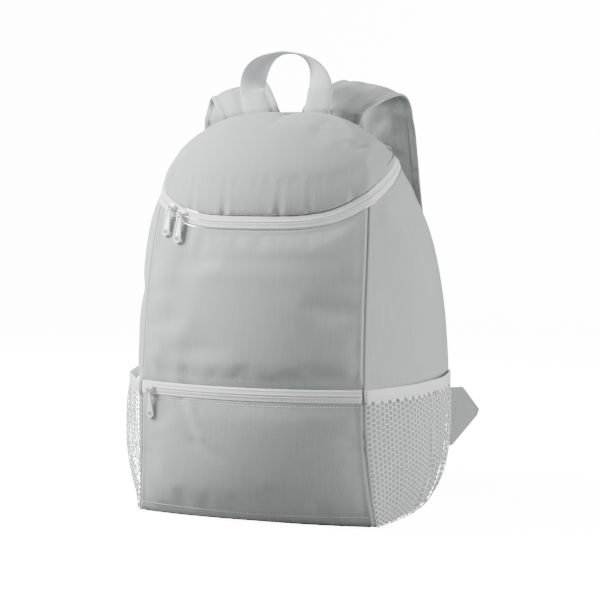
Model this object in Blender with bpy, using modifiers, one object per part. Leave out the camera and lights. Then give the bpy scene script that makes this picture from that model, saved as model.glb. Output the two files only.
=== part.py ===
"""Cooler backpack standing on its base: a padded tapering body with a domed lid that a U-shaped
zip closes, a zipped front pocket, two net side pockets, a webbing handle and two shoulder straps.

Metres, +Z up. The front faces -Y, the wearer's back is at +Y. The origin is the middle of the
base's underside. Right means +X and left means -X, as seen from the front.
"""

import math

import bmesh
import bpy
from mathutils import Matrix, Vector

for old in list(bpy.data.objects):
    bpy.data.objects.remove(old, do_unlink=True)

MM = 0.001

# Body
BODY_WIDTH = 290 * MM
BODY_DEPTH = 180 * MM
BODY_HEIGHT = 378 * MM
WALL = 4 * MM
BACK_WALL = 5 * MM
BASE_WALL = 3 * MM
GAP = 0.35 * MM
SEAM_GROOVE = 1.9 * MM
# The share of a section's half girth, front middle to back seam, that the front panel takes
FRONT_SHARE = 0.42
BACK_CUSHION = 3 * MM

# Lid and the zip under it
ZIP_WIDTH = 10.5 * MM
ZIP_THICKNESS = 1.1 * MM
ZIP_BEAD = 0.9 * MM
ZIP_SLIT = 0.6 * MM
# The bead of teeth along the slit: its share of the tape's width, and its height at both edges
BEAD_SHARE = 1 / 7
BEAD_INNER = 0.7
BEAD_OUTER = 0.2
ZIP_FRONT_HEIGHT = 273 * MM
ZIP_BACK_HEIGHT = 330 * MM
LID_END_HEIGHT = 2 * MM
LID_BULGE = 0.17
LID_SIDEWAYS = 0.4
LID_ROUNDNESS = 0.75
LID_SEAM_DROP = 3 * MM

# Front pocket
POCKET_WALL = 1.5 * MM
POCKET_ZIP_HEIGHT = 120 * MM
POCKET_BULGE = 4 * MM
POCKET_ROOM = 3 * MM
# Where the wall behind the pocket starts and ends its step back, from the pocket zip's middle
SETBACK_BELOW = 4 * MM
SETBACK_ABOVE = 9.5 * MM

# Net side pockets
NET_WALL = 1 * MM
NET_HEIGHT = 115 * MM
NET_BULGE = 13 * MM
NET_BINDING_HEIGHT = 11 * MM
NET_BINDING_WALL = 1.8 * MM
NET_BACK_SHARE = 0.97
# How far the net's rim stands off, as a share of its bulge, and its soft upright folds
NET_RIM_SHARE = 0.62
NET_FOLDS = 3
NET_FOLD_DEPTH = 0.1

# Webbing handle
WEBBING_WIDTH = 25 * MM
WEBBING_WALL = 1.6 * MM
HANDLE_SPREAD = 62 * MM
HANDLE_SPLAY = 3.5 * MM
HANDLE_LEG = 20 * MM
HANDLE_ARCH = 35 * MM
HANDLE_FOOT = 26 * MM
# The shares of the quarter arch over which the webbing turns on edge
HANDLE_TWIST_FROM = -0.15
HANDLE_TWIST_TO = 0.9

# Shoulder straps
STRAP_WIDTH = 62 * MM
STRAP_PADDING = 7 * MM
STRAP_EDGE = 2.6 * MM
# Where the padding's edge starts to round off, as a share of its half width, and how thick it is
PAD_SHOULDER = 0.75
PAD_FULL = 0.85
STRAP_BINDING = 8 * MM
STRAP_STANDOFF = 75 * MM
LOWER_WEBBING_WIDTH = 20 * MM
LOWER_WEBBING_LAP = 18 * MM
WEBBING_SLANT = 40
WEBBING_ON_TAB = 0.55
TAB_HEIGHT = 57 * MM
TAB_REACH = 31 * MM
TAB_MIDDLE = 78 * MM
TAB_WALL = 3 * MM
# The tab's corners as shares of its reach and height
TAB_OUTLINE = ((0, -0.5), (0, 0.5), (0.45, 0.5), (1, 0.1), (0.9, -0.02), (0.1, -0.5))
TAB_YAW = 31

# Sliders and pull tabs
SLIDER_WIDTH = 8.5 * MM
SLIDER_LENGTH = 9 * MM
SLIDER_WALL = 1.8 * MM
PIN_RADIUS = 0.6 * MM
PIN_HEIGHT = 2.1 * MM
POST_WALL = 0.9 * MM
KNUCKLE_WIDTH = 1.6 * MM
KNUCKLE_RADIUS = 1.8 * MM
RUNNING_GAP = 0.65 * MM
PULL_LENGTH = 28 * MM
PULL_WIDTH = 8.6 * MM
PULL_NECK = 5.2 * MM
PULL_WALL = 1.2 * MM
PULL_HOLE = 2.1 * MM
REST_GAP = 0.6 * MM
MAIN_SLIDERS = (-0.352, -0.296)
# How far, in degrees, the main sliders are turned back from the zip's slope towards level
SLIDER_SKEW = 12
POCKET_SLIDER = -0.375

# One row for each level section of the body. height is a share of BODY_HEIGHT; seam_x and back_x
# are shares of half BODY_WIDTH; seam_y, front_y, back_y and bulge are shares of half BODY_DEPTH.
# The seam is the one between front and side, back is the side panel's seam with the back panel,
# and bulge is how far the side bows out between the two.
SECTION_COLUMNS = ("height", "seam_x", "seam_y", "front_y", "back_x", "back_y", "bulge")
SECTIONS = (
    (0.000, 0.800, -0.930, -1.070, 0.905, 0.740, 0.090),
    (0.080, 0.773, -0.990, -1.190, 0.965, 0.870, 0.140),
    (0.210, 0.746, -1.040, -1.260, 1.000, 0.940, 0.165),
    (0.335, 0.738, -1.050, -1.270, 1.010, 0.940, 0.170),
    (0.530, 0.728, -0.950, -1.170, 0.975, 0.880, 0.180),
    (0.700, 0.714, -0.770, -1.010, 0.895, 0.740, 0.160),
    (0.850, 0.672, -0.520, -0.790, 0.745, 0.460, 0.110),
    (1.000, 0.571, -0.250, -0.550, 0.580, 0.090, 0.090),
)

# How the zip climbs from its front height to its back height: along is t, from the front middle to
# the right back seam, and rise is a share of the climb.
ZIP_COLUMNS = ("along", "rise")
ZIP_LINE = (
    (0.00, 0.000),
    (0.12, 0.006),
    (0.20, 0.028),
    (0.28, 0.090),
    (0.35, 0.210),
    (0.42, 0.385),
    (0.50, 0.540),
    (0.57, 0.655),
    (0.70, 0.825),
    (0.85, 0.950),
    (1.00, 1.000),
)

# The arch that the lid and the back panel share, from its middle to the right end of the zip.
# along counts from 0 to 1; wide is a share of the arch's half width and rise a share of its rise.
CROWN_COLUMNS = ("along", "wide", "rise")
CROWN = (
    (0.00, 0.000, 1.000),
    (0.26, 0.290, 0.985),
    (0.40, 0.450, 0.910),
    (0.54, 0.595, 0.780),
    (0.67, 0.720, 0.600),
    (0.78, 0.815, 0.410),
    (0.92, 0.930, 0.130),
    (1.00, 1.000, 0.000),
)

# One row for each place along a shoulder strap, from its sewn top end to its lower end. out is a
# share of half BODY_WIDTH, off is the distance from the back panel as a share of STRAP_STANDOFF,
# height is a share of BODY_HEIGHT and tilt, in degrees, is how far the outer edge hangs down.
STRAP_COLUMNS = ("out", "off", "height", "tilt")
STRAP_STATIONS = (
    (0.235, 0.072, 0.885, 0),
    (0.238, 0.080, 0.905, 0),
    (0.250, 0.116, 0.935, 1),
    (0.265, 0.140, 0.965, 3),
    (0.295, 0.205, 0.998, 6),
    (0.350, 0.340, 1.025, 10),
    (0.420, 0.560, 1.050, 13),
    (0.490, 0.800, 1.062, 14),
    (0.530, 0.900, 1.035, 12),
    (0.555, 0.830, 0.975, 9),
    (0.565, 0.680, 0.900, 6),
    (0.575, 0.520, 0.800, 3),
    (0.590, 0.430, 0.680, 0),
    (0.620, 0.400, 0.560, 0),
    (0.660, 0.400, 0.450, 0),
    (0.710, 0.380, 0.350, 0),
)


def through(points, at):
    """A smooth curve through (place, value) points, read at a place; straight beyond the ends."""
    last = len(points) - 1
    i = max(0, min(last - 1, sum(at >= place for place, _ in points) - 1))
    slopes = []
    for k in (i, i + 1):
        a, b = points[max(k - 1, 0)], points[min(k + 1, last)]
        slopes.append((b[1] - a[1]) / (b[0] - a[0]))
    (x0, y0), (x1, y1) = points[i], points[i + 1]
    span = x1 - x0
    s = (at - x0) / span
    if s < 0:
        return y0 + slopes[0] * (at - x0)
    if s > 1:
        return y1 + slopes[1] * (at - x1)
    return (
        (2 * s**3 - 3 * s**2 + 1) * y0
        + (s**3 - 2 * s**2 + s) * span * slopes[0]
        + (3 * s**2 - 2 * s**3) * y1
        + (s**3 - s**2) * span * slopes[1]
    )


def ease(low, high, at):
    s = max(0.0, min(1.0, (at - low) / (high - low)))
    return s * s * (3 - 2 * s)


def section(column, height):
    """A section's value in metres at a height in metres."""
    half = BODY_WIDTH / 2 if column.endswith("_x") else BODY_DEPTH / 2
    k = SECTION_COLUMNS.index(column)
    return half * through([(row[0], row[k]) for row in SECTIONS], height / BODY_HEIGHT)


def inner_back(height):
    """Where a piece sewn against the inside of the leaning back panel ends."""
    lean = (section("back_y", height + MM) - section("back_y", height - MM)) / (2 * MM)
    return section("back_y", height) - (BACK_WALL + GAP) * math.hypot(1, lean) - GAP


def skin(t, height):
    """The body's outer face: t runs from 0 at the front middle to 1 at the right back seam."""
    side = -1 if t < 0 else 1
    seam = Vector((section("seam_x", height), section("seam_y", height)))
    if abs(t) <= FRONT_SHARE:
        s = abs(t) / FRONT_SHARE
        front = section("front_y", height)
        return Vector((side * s * seam.x, front + (seam.y - front) * s * s, height))
    back = Vector((section("back_x", height), inner_back(height)))
    s = (abs(t) - FRONT_SHARE) / (1 - FRONT_SHARE)
    chord = back - seam
    out = Vector((chord.y, -chord.x)).normalized()
    flat = seam + chord * s + out * 4 * section("bulge", height) * s * (1 - s)
    return Vector((side * flat.x, flat.y, height))


def skin_normal(t, height):
    """The way out of the skin, read a little towards the middle of t's own panel."""
    step = 0.002
    side = -1 if t < 0 else 1
    inner, outer = (0, FRONT_SHARE) if abs(t) <= FRONT_SHARE else (FRONT_SHARE, 1)
    a = max(abs(t) - step, inner + 1e-6)
    b = min(abs(t) + step, outer)
    along = (skin(side * b, height) - skin(side * a, height)) * side
    up = skin(t, height + MM) - skin(t, height - MM)
    return along.cross(up).normalized()


def outside(t, height, off):
    return skin(t, height) + skin_normal(t, height) * off


def share_at(distance, height):
    """The share of t that a distance along the skin takes, in front of the seam and behind it."""
    front = section("seam_x", height)
    side = section("back_y", height) - section("seam_y", height)
    return distance * FRONT_SHARE / front, distance * (1 - FRONT_SHARE) / side


def zip_height(t):
    place, rise_at = (ZIP_COLUMNS.index(name) for name in ("along", "rise"))
    rise = through([(row[place], row[rise_at]) for row in ZIP_LINE], abs(t))
    return ZIP_FRONT_HEIGHT + (ZIP_BACK_HEIGHT - ZIP_FRONT_HEIGHT) * rise


def under_zip(t):
    """The height of the wall's top edge, just under the slanting main zip."""
    step = 0.01
    a, b = max(abs(t) - step, 0), min(abs(t) + step, 1)
    low, high = skin(a, zip_height(a)), skin(b, zip_height(b))
    run = math.hypot(high.x - low.x, high.y - low.y)
    return zip_height(t) - HALF_ZIP * math.hypot(1, (high.z - low.z) / run) - 3 * GAP


def zip_frame(t, height_of):
    """Place, way along, way out and way up at one point of a zip line that lies on the skin."""
    step = 0.004
    a, b = max(t - step, -1), min(t + step, 1)
    along = (skin(b, height_of(b)) - skin(a, height_of(a))).normalized()
    near = [skin_normal(max(-1, min(1, t + k * 0.02)), height_of(t)) for k in (-1, 0, 1)]
    out = sum(near, Vector())
    out = (out - along * out.dot(along)).normalized()
    return skin(t, height_of(t)), along, out, out.cross(along).normalized()


def link(name, mesh, material):
    obj = bpy.data.objects.new(name, mesh)
    bag.objects.link(obj)
    mesh.materials.append(material)
    mesh.shade_smooth()
    return obj


def grid(name, surface, columns, rows, wall, material):
    """An open sheet, surface(u, v) for u and v from 0 to 1, thickened inwards to its wall."""
    mesh = bpy.data.meshes.new(name)
    sheet = bmesh.new()
    lines = [
        [sheet.verts.new(surface(i / columns, j / rows)) for i in range(columns + 1)]
        for j in range(rows + 1)
    ]
    for low, high in zip(lines, lines[1:]):
        for i in range(columns):
            sheet.faces.new((low[i], low[i + 1], high[i + 1], high[i]))
    sheet.to_mesh(mesh)
    sheet.free()
    obj = link(name, mesh, material)
    thick = obj.modifiers.new("Wall", "SOLIDIFY")
    thick.thickness = wall
    thick.offset = -1
    thick.use_even_offset = True
    return obj


def loft(name, rings, material):
    """A closed body through rings of the same number of points, capped at both ends."""
    mesh = bpy.data.meshes.new(name)
    body = bmesh.new()
    lines = [[body.verts.new(point) for point in ring] for ring in rings]
    count = len(lines[0])
    for low, high in zip(lines, lines[1:]):
        for i in range(count):
            k = (i + 1) % count
            body.faces.new((low[i], low[k], high[k], high[i]))
    body.faces.new(lines[0][::-1])
    body.faces.new(lines[-1])
    bmesh.ops.recalc_face_normals(body, faces=body.faces)
    body.to_mesh(mesh)
    body.free()
    return link(name, mesh, material)


def finish(name, colour, roughness, metallic=0.0):
    material = bpy.data.materials.new(name)
    material.use_nodes = True
    shader = material.node_tree.nodes["Principled BSDF"]
    shader.inputs["Base Color"].default_value = (*colour, 1)
    shader.inputs["Roughness"].default_value = roughness
    shader.inputs["Metallic"].default_value = metallic
    material.diffuse_color = (*colour, 1)
    return material


bag = bpy.data.collections.new("cooler_backpack")
cutters = bpy.data.collections.new("cutters")
for collection in (bag, cutters):
    bpy.context.scene.collection.children.link(collection)
grey_canvas = finish("grey_canvas", (0.52, 0.55, 0.54), 0.85)
grey_binding = finish("grey_binding", (0.47, 0.50, 0.49), 0.85)
white_net = finish("white_net", (0.80, 0.82, 0.81), 0.7)
white_tape = finish("white_tape", (0.86, 0.86, 0.86), 0.6)
white_webbing = finish("white_webbing", (0.83, 0.83, 0.84), 0.7)
white_enamel = finish("white_enamel", (0.84, 0.84, 0.83), 0.35, 0.1)

FLOOR_OF_WALLS = BASE_WALL + GAP
HALF_ZIP = ZIP_WIDTH / 2 + GAP
SIDES = (("right", 1), ("left", -1))


# Base: a flat stiff panel under the walls
def base_panel():
    curve = bpy.data.curves.new("base_panel", "CURVE")
    curve.dimensions = "2D"
    curve.fill_mode = "BOTH"
    steps = 16
    around = [skin(k / steps, 0) for k in range(-steps, steps + 1)]
    around[0].y = around[-1].y = section("back_y", 0)
    line = curve.splines.new("POLY")
    line.points.add(len(around) - 1)
    for spot, place in zip(line.points, around):
        spot.co = (place.x, place.y, 0, 1)
    line.use_cyclic_u = True
    curve.extrude = BASE_WALL / 2
    curve.materials.append(grey_canvas)
    obj = bpy.data.objects.new("base_panel", curve)
    obj.location.z = BASE_WALL / 2
    bag.objects.link(obj)


# Front panel: the padded wall, set back where the pocket lies over it
def front_panel():
    low, high = POCKET_ZIP_HEIGHT - SETBACK_BELOW, POCKET_ZIP_HEIGHT + SETBACK_ABOVE
    setback = POCKET_WALL + POCKET_ROOM + WALL / 2
    parts = (3, 5, 7)

    def surface(u, v):
        a = 2 * u - 1
        stops = (FLOOR_OF_WALLS, low, high, under_zip(a * FRONT_SHARE))
        row = v * sum(parts)
        height = stops[0]
        for count, start, stop in zip(parts, stops, stops[1:]):
            height += (stop - start) * max(0, min(1, row / count))
            row -= count
        back = 1 - ease(low, high, height)
        inset, _ = share_at(SEAM_GROOVE + back * (WALL + setback / 2), height)
        return outside(a * (FRONT_SHARE - inset), height, -setback * back)

    grid("front_panel", surface, 17, sum(parts), WALL, grey_canvas)


# Side panels: one on each side, from the front seam round to the back panel
def side_panels():
    for word, side in SIDES:

        def surface(u, v):
            u = u if side > 0 else 1 - u
            _, inset = share_at(SEAM_GROOVE, BODY_HEIGHT / 3)
            t = FRONT_SHARE + inset + (1 - FRONT_SHARE - inset) * u
            top = under_zip(t)
            height = FLOOR_OF_WALLS + (top - FLOOR_OF_WALLS) * v
            return skin(side * t, height)

        grid(f"side_panel_{word}", surface, 11, 14, WALL, grey_canvas)


def crown(a):
    """The back panel's arched top edge: a runs from 0 at the middle to 1 at the right zip end."""
    low = ZIP_BACK_HEIGHT + HALF_ZIP + LID_END_HEIGHT
    place, wide_at, rise_at = (CROWN_COLUMNS.index(name) for name in ("along", "wide", "rise"))
    wide = through([(row[place], row[wide_at]) for row in CROWN], abs(a))
    rise = through([(row[place], row[rise_at]) for row in CROWN], abs(a))
    return math.copysign(section("back_x", low) * wide, a), low + (BODY_HEIGHT - low) * rise


# Back panel: padded, arched at the top, between the two side seams
def back_panel():
    def surface(u, v):
        a = 1 - 2 * u
        wide, top = crown(a)
        height = FLOOR_OF_WALLS + (top - FLOOR_OF_WALLS) * v
        low = min(height, crown(1)[1])
        x = a * section("back_x", low) * (1 - v**3) + wide * v**3
        cushion = BACK_CUSHION * (1 - a * a) * math.sin(math.pi * v)
        return Vector((x, section("back_y", height) + cushion, height))

    grid("back_panel", surface, 14, 13, BACK_WALL, grey_canvas)


# Lid: one domed padded piece from the zip up and over to the back panel's arched edge
def lid_point(a, q):
    place, _, _, up = zip_frame(a, zip_height)
    start = place + up * (HALF_ZIP + GAP)
    x, z = crown(a)
    z -= LID_SEAM_DROP * (1 - abs(a))
    end = Vector((x, min(inner_back(z), inner_back(z + WALL)), z))
    chord = end - start
    out = (start + end) / 2
    out.x *= LID_SIDEWAYS
    out.y -= section("front_y", ZIP_FRONT_HEIGHT) / 5
    out.z -= ZIP_FRONT_HEIGHT
    out -= chord * (out.dot(chord) / chord.length_squared)
    bulge = LID_BULGE * (1 - a * a) * chord.length * (4 * q * (1 - q)) ** LID_ROUNDNESS
    return start + chord * q + out.normalized() * bulge


def lid_panel():
    _, inset = share_at(GAP, ZIP_BACK_HEIGHT)
    grid(
        "lid_panel",
        lambda u, v: lid_point((2 * u - 1) * (1 - inset), v),
        30,
        10,
        WALL,
        grey_canvas,
    )


def zip_half(name, height_of, first, last, steps, way, material):
    """One half of a closed zip: a tape with a bead along the slit. way is 1 above, -1 below."""
    edge, bead = ZIP_WIDTH / 2, ZIP_WIDTH * BEAD_SHARE
    profile = (
        (ZIP_SLIT / 2, -ZIP_THICKNESS),
        (ZIP_SLIT / 2, ZIP_BEAD * BEAD_INNER),
        (ZIP_SLIT / 2 + bead / 2, ZIP_BEAD),
        (ZIP_SLIT / 2 + bead, ZIP_BEAD * BEAD_OUTER),
        (edge, 0),
        (edge, -ZIP_THICKNESS),
    )
    rings = []
    for k in range(steps + 1):
        place, _, out, up = zip_frame(first + (last - first) * k / steps, height_of)
        rings.append([place + up * way * w + out * n for w, n in profile])
    return loft(name, rings, material)


def pocket_zip_height(t):
    return POCKET_ZIP_HEIGHT


# Zips: the long one under the lid and the straight one over the front pocket
def zips():
    _, inset = share_at(2 * GAP, ZIP_BACK_HEIGHT)
    reach = 1 - inset
    front_reach = FRONT_SHARE - share_at(SEAM_GROOVE, POCKET_ZIP_HEIGHT)[0]
    for word, way in (("upper", 1), ("lower", -1)):
        zip_half(f"main_zip_{word}", zip_height, -reach, reach, 38, way, white_tape)
        zip_half(
            f"pocket_zip_{word}",
            pocket_zip_height,
            -front_reach,
            front_reach,
            12,
            way,
            white_tape,
        )


# Front pocket: one thin panel over the lower front, sewn in at the sides and the base
def front_pocket():
    def surface(u, v):
        a = 2 * u - 1
        top = POCKET_ZIP_HEIGHT - HALF_ZIP
        height = FLOOR_OF_WALLS + (top - FLOOR_OF_WALLS) * v
        inset, _ = share_at(SEAM_GROOVE, height)
        off = POCKET_BULGE * (1 - a * a) * max(0, math.sin(math.pi * v)) ** 0.7
        return outside(a * (FRONT_SHARE - inset), height, off)

    grid("front_pocket", surface, 12, 9, POCKET_WALL, grey_canvas)


def net_off(u, v):
    """How far the net stands off the side panel: u from front seam to back, v from base to rim."""
    across = max(0, math.sin(math.pi * u)) ** 0.75
    rim = NET_RIM_SHARE * math.sin(math.pi * min(v, 0.5))
    belly = (1 - NET_RIM_SHARE) * max(0, math.sin(math.pi * v)) ** 0.6
    fold = 1 + NET_FOLD_DEPTH * math.cos(2 * math.pi * NET_FOLDS * u)
    return NET_BULGE * across * fold * (rim + belly)


def net_share(u):
    _, inset = share_at(SEAM_GROOVE, NET_HEIGHT / 2)
    return FRONT_SHARE + inset + (NET_BACK_SHARE - FRONT_SHARE - inset) * u


# Net side pockets: a loose net sewn in at both seams and the base, open at its bound rim
def net_pockets():
    for word, side in SIDES:
        clear = NET_WALL + GAP

        def surface(u, v):
            u = u if side > 0 else 1 - u
            height = FLOOR_OF_WALLS + (NET_HEIGHT - FLOOR_OF_WALLS) * v
            return outside(side * net_share(u), height, clear + net_off(u, v))

        grid(f"net_pocket_{word}", surface, 14, 9, NET_WALL, white_net)

        def band(u, v):
            u = u if side > 0 else 1 - u
            height = NET_HEIGHT + GAP + NET_BINDING_HEIGHT * v
            off = NET_BINDING_WALL + GAP + net_off(u, 1)
            return outside(side * net_share(u), height, off)

        grid(f"net_binding_{word}", band, 14, 1, NET_BINDING_WALL, white_tape)


def strap_read(column, s):
    k = STRAP_COLUMNS.index(column)
    last = len(STRAP_STATIONS) - 1
    return through([(i / last, row[k]) for i, row in enumerate(STRAP_STATIONS)], s)


def strap_line(side, s):
    height = BODY_HEIGHT * strap_read("height", s)
    x = BODY_WIDTH / 2 * strap_read("out", s)
    lean = section("back_y", min(height, BODY_HEIGHT))
    return Vector((side * x, lean + STRAP_STANDOFF * strap_read("off", s), height))


def strap_frame(side, s):
    """Place, way across towards the outer edge, and way out of the strap's face."""
    step = 0.01
    along = (strap_line(side, s + step) - strap_line(side, s - step)).normalized()
    tilt = math.radians(strap_read("tilt", s))
    across = Vector((side * math.cos(tilt), 0, -math.sin(tilt)))
    out = along.cross(across) * -side
    return strap_line(side, s), across, out.normalized()


def strap_point(side, s, w, n):
    place, across, out = strap_frame(side, s)
    return place + across * w + out * n


# Shoulder straps: padded, with a flat binding sewn round both long edges and the lower end
def shoulder_straps():
    pad = STRAP_WIDTH / 2 - STRAP_BINDING - GAP
    steps = 26
    tail = 0.02
    length = (strap_line(1, 1) - strap_line(1, 1 - tail)).length / tail
    end = 1 - (STRAP_BINDING + GAP) / length
    for word, side in SIDES:
        half, thin = STRAP_PADDING / 2, STRAP_EDGE / 2
        profile = (
            (-pad, -thin),
            (-pad * PAD_SHOULDER, -half * PAD_FULL),
            (0, -half),
            (pad * PAD_SHOULDER, -half * PAD_FULL),
            (pad, -thin),
            (pad, thin),
            (pad * PAD_SHOULDER, half * PAD_FULL),
            (0, half),
            (-pad * PAD_SHOULDER, half * PAD_FULL),
            (-pad, thin),
        )
        rings = []
        for k in range(steps + 1):
            s = end * k / steps
            rings.append([strap_point(side, s, w, n) for w, n in profile])
        loft(f"shoulder_strap_{word}", rings, grey_canvas)

        middle = STRAP_WIDTH / 2 - STRAP_BINDING / 2
        rim = [(end * length * k / steps, -middle) for k in range(steps)]
        rim.append((length - STRAP_BINDING / 2, -middle))
        rim += [(run, -w) for run, w in reversed(rim)]
        rings = []
        for k, spot in enumerate(rim):
            before = Vector(spot) - Vector(rim[max(k - 1, 0)])
            after = Vector(rim[min(k + 1, len(rim) - 1)]) - Vector(spot)
            way = (before.normalized() + after.normalized()).normalized()
            reach = STRAP_BINDING / 2 / max(way.dot(after.normalized()), way.dot(before.normalized()))
            ring = []
            for x, n in ((-1, -1), (1, -1), (1, 1), (-1, 1)):
                run = spot[0] - way.y * x * reach
                w = spot[1] + way.x * x * reach
                ring.append(strap_point(side, run / length, w, n * thin))
            rings.append(ring)
        loft(f"strap_binding_{word}", rings, grey_binding)


def ribbon(name, places, acrosses, width, wall, material):
    """Flat webbing along a line of places, with its width direction given at each."""
    rings = []
    for k, (place, across) in enumerate(zip(places, acrosses)):
        before, after = places[max(k - 1, 0)], places[min(k + 1, len(places) - 1)]
        along = (after - before).normalized()
        across = (across - along * across.dot(along)).normalized()
        out = along.cross(across)
        rings.append(
            [
                place + across * x * width / 2 + out * n * wall / 2
                for x, n in ((-1, -1), (1, -1), (1, 1), (-1, 1))
            ]
        )
    return loft(name, rings, material)


# Handle: one length of webbing, both feet sewn flat on the back panel, turning on edge on top
def handle():
    spread = HANDLE_SPREAD / 2
    foot_off = WEBBING_WALL / 2 + 2 * GAP
    top = BODY_HEIGHT
    places, acrosses = [], []
    for k in range(3):
        height = top - HANDLE_FOOT * (1 - k / 3)
        y = section("back_y", height) + foot_off
        y += BACK_CUSHION * math.sin(math.pi * height / top)
        places.append(Vector((-spread, y, height)))
    y = section("back_y", top) + foot_off
    for k in range(3):
        places.append(Vector((-spread - HANDLE_SPLAY * k / 3, y, top + HANDLE_LEG * k / 3)))
    acrosses += [Vector((1, 0, 0))] * len(places)
    steps = 12
    for k in range(steps + 1):
        angle = math.radians(90) * k / steps
        wide = spread + HANDLE_SPLAY
        rise = HANDLE_LEG + HANDLE_ARCH * math.sin(angle)
        places.append(Vector((-wide * math.cos(angle), y, top + rise)))
        way = Vector((wide * math.sin(angle), 0, HANDLE_ARCH * math.cos(angle))).normalized()
        turn = math.radians(90) * ease(HANDLE_TWIST_FROM, HANDLE_TWIST_TO, k / steps)
        across = Vector((way.z, 0, -way.x)) * math.cos(turn)
        acrosses.append(across + Vector((0, math.sin(turn), 0)))
    for place, across in list(zip(places, acrosses))[-2::-1]:
        places.append(Vector((-place.x, place.y, place.z)))
        acrosses.append(Vector((-across.x, across.y, across.z)))
    ribbon("handle", places, acrosses, WEBBING_WIDTH, WEBBING_WALL, white_webbing)


# Lower strap ends: a folded triangular tab in each back seam, and webbing from it to the strap
def strap_ends():
    yaw = math.radians(TAB_YAW)
    for word, side in SIDES:
        away = Vector((side * math.cos(yaw), math.sin(yaw), 0))
        across = Vector((-side * math.sin(yaw), math.cos(yaw), 0))
        x = section("back_x", TAB_MIDDLE + TAB_HEIGHT / 2) + GAP / 2
        y = section("back_y", TAB_MIDDLE) - TAB_WALL
        root = Vector((side * x, y, TAB_MIDDLE))
        rings = []
        for n in (-0.5, 0.5):
            face = root + across * n * TAB_WALL
            rings.append(
                [face + away * TAB_REACH * r + Vector((0, 0, TAB_HEIGHT * h)) for r, h in TAB_OUTLINE]
            )
        loft(f"strap_tab_{word}", rings, grey_canvas)

        start = root + across * (TAB_WALL / 2 + 2 * GAP + WEBBING_WALL / 2)
        start += away * TAB_REACH * WEBBING_ON_TAB
        slant = math.radians(WEBBING_SLANT)
        leaving = Vector((0, 0, 1)) * math.cos(slant) - away * math.sin(slant)
        level = away * math.cos(slant) + Vector((0, 0, 1)) * math.sin(slant)
        tail = 0.02
        way = strap_line(side, 1 - tail) - strap_line(side, 1)
        lap = LOWER_WEBBING_LAP / way.length * tail
        under = -STRAP_PADDING / 2 - WEBBING_WALL / 2 - 2 * GAP
        lower = strap_point(side, 1 + lap / 3, 0, under)
        stop = strap_point(side, 1 - lap, 0, under)
        easing = LOWER_WEBBING_LAP
        curve = (start, start + leaving * easing, lower - way.normalized() * easing, lower)
        places, acrosses = [start - leaving * easing / 2], [level]
        steps = 8
        for k in range(steps + 1):
            s = k / steps
            shares = ((1 - s) ** 3, 3 * s * (1 - s) ** 2, 3 * s * s * (1 - s), s**3)
            places.append(sum((spot * share for spot, share in zip(curve, shares)), Vector()))
            acrosses.append(level.lerp(Vector((side, 0, 0)), ease(0.1, 1, s)))
        places.append(stop)
        acrosses.append(Vector((side, 0, 0)))
        width = LOWER_WEBBING_WIDTH
        ribbon(
            f"strap_webbing_{word}", places, acrosses, width, WEBBING_WALL, white_webbing
        )


def placed(name, collection, matrix, material):
    """The primitive just added, moved into its collection, placed and given its material."""
    obj = bpy.context.object
    obj.name = obj.data.name = name
    for home in list(obj.users_collection):
        home.objects.unlink(obj)
    collection.objects.link(obj)
    obj.matrix_world = matrix @ obj.matrix_world
    obj.data.materials.append(material)
    if collection is cutters:
        obj.hide_render = True
        obj.display_type = "WIRE"
    return obj


def combine(target, tool, operation):
    step = target.modifiers.new(tool.name, "BOOLEAN")
    step.operation = operation
    step.solver = "EXACT"
    step.object = tool


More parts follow.
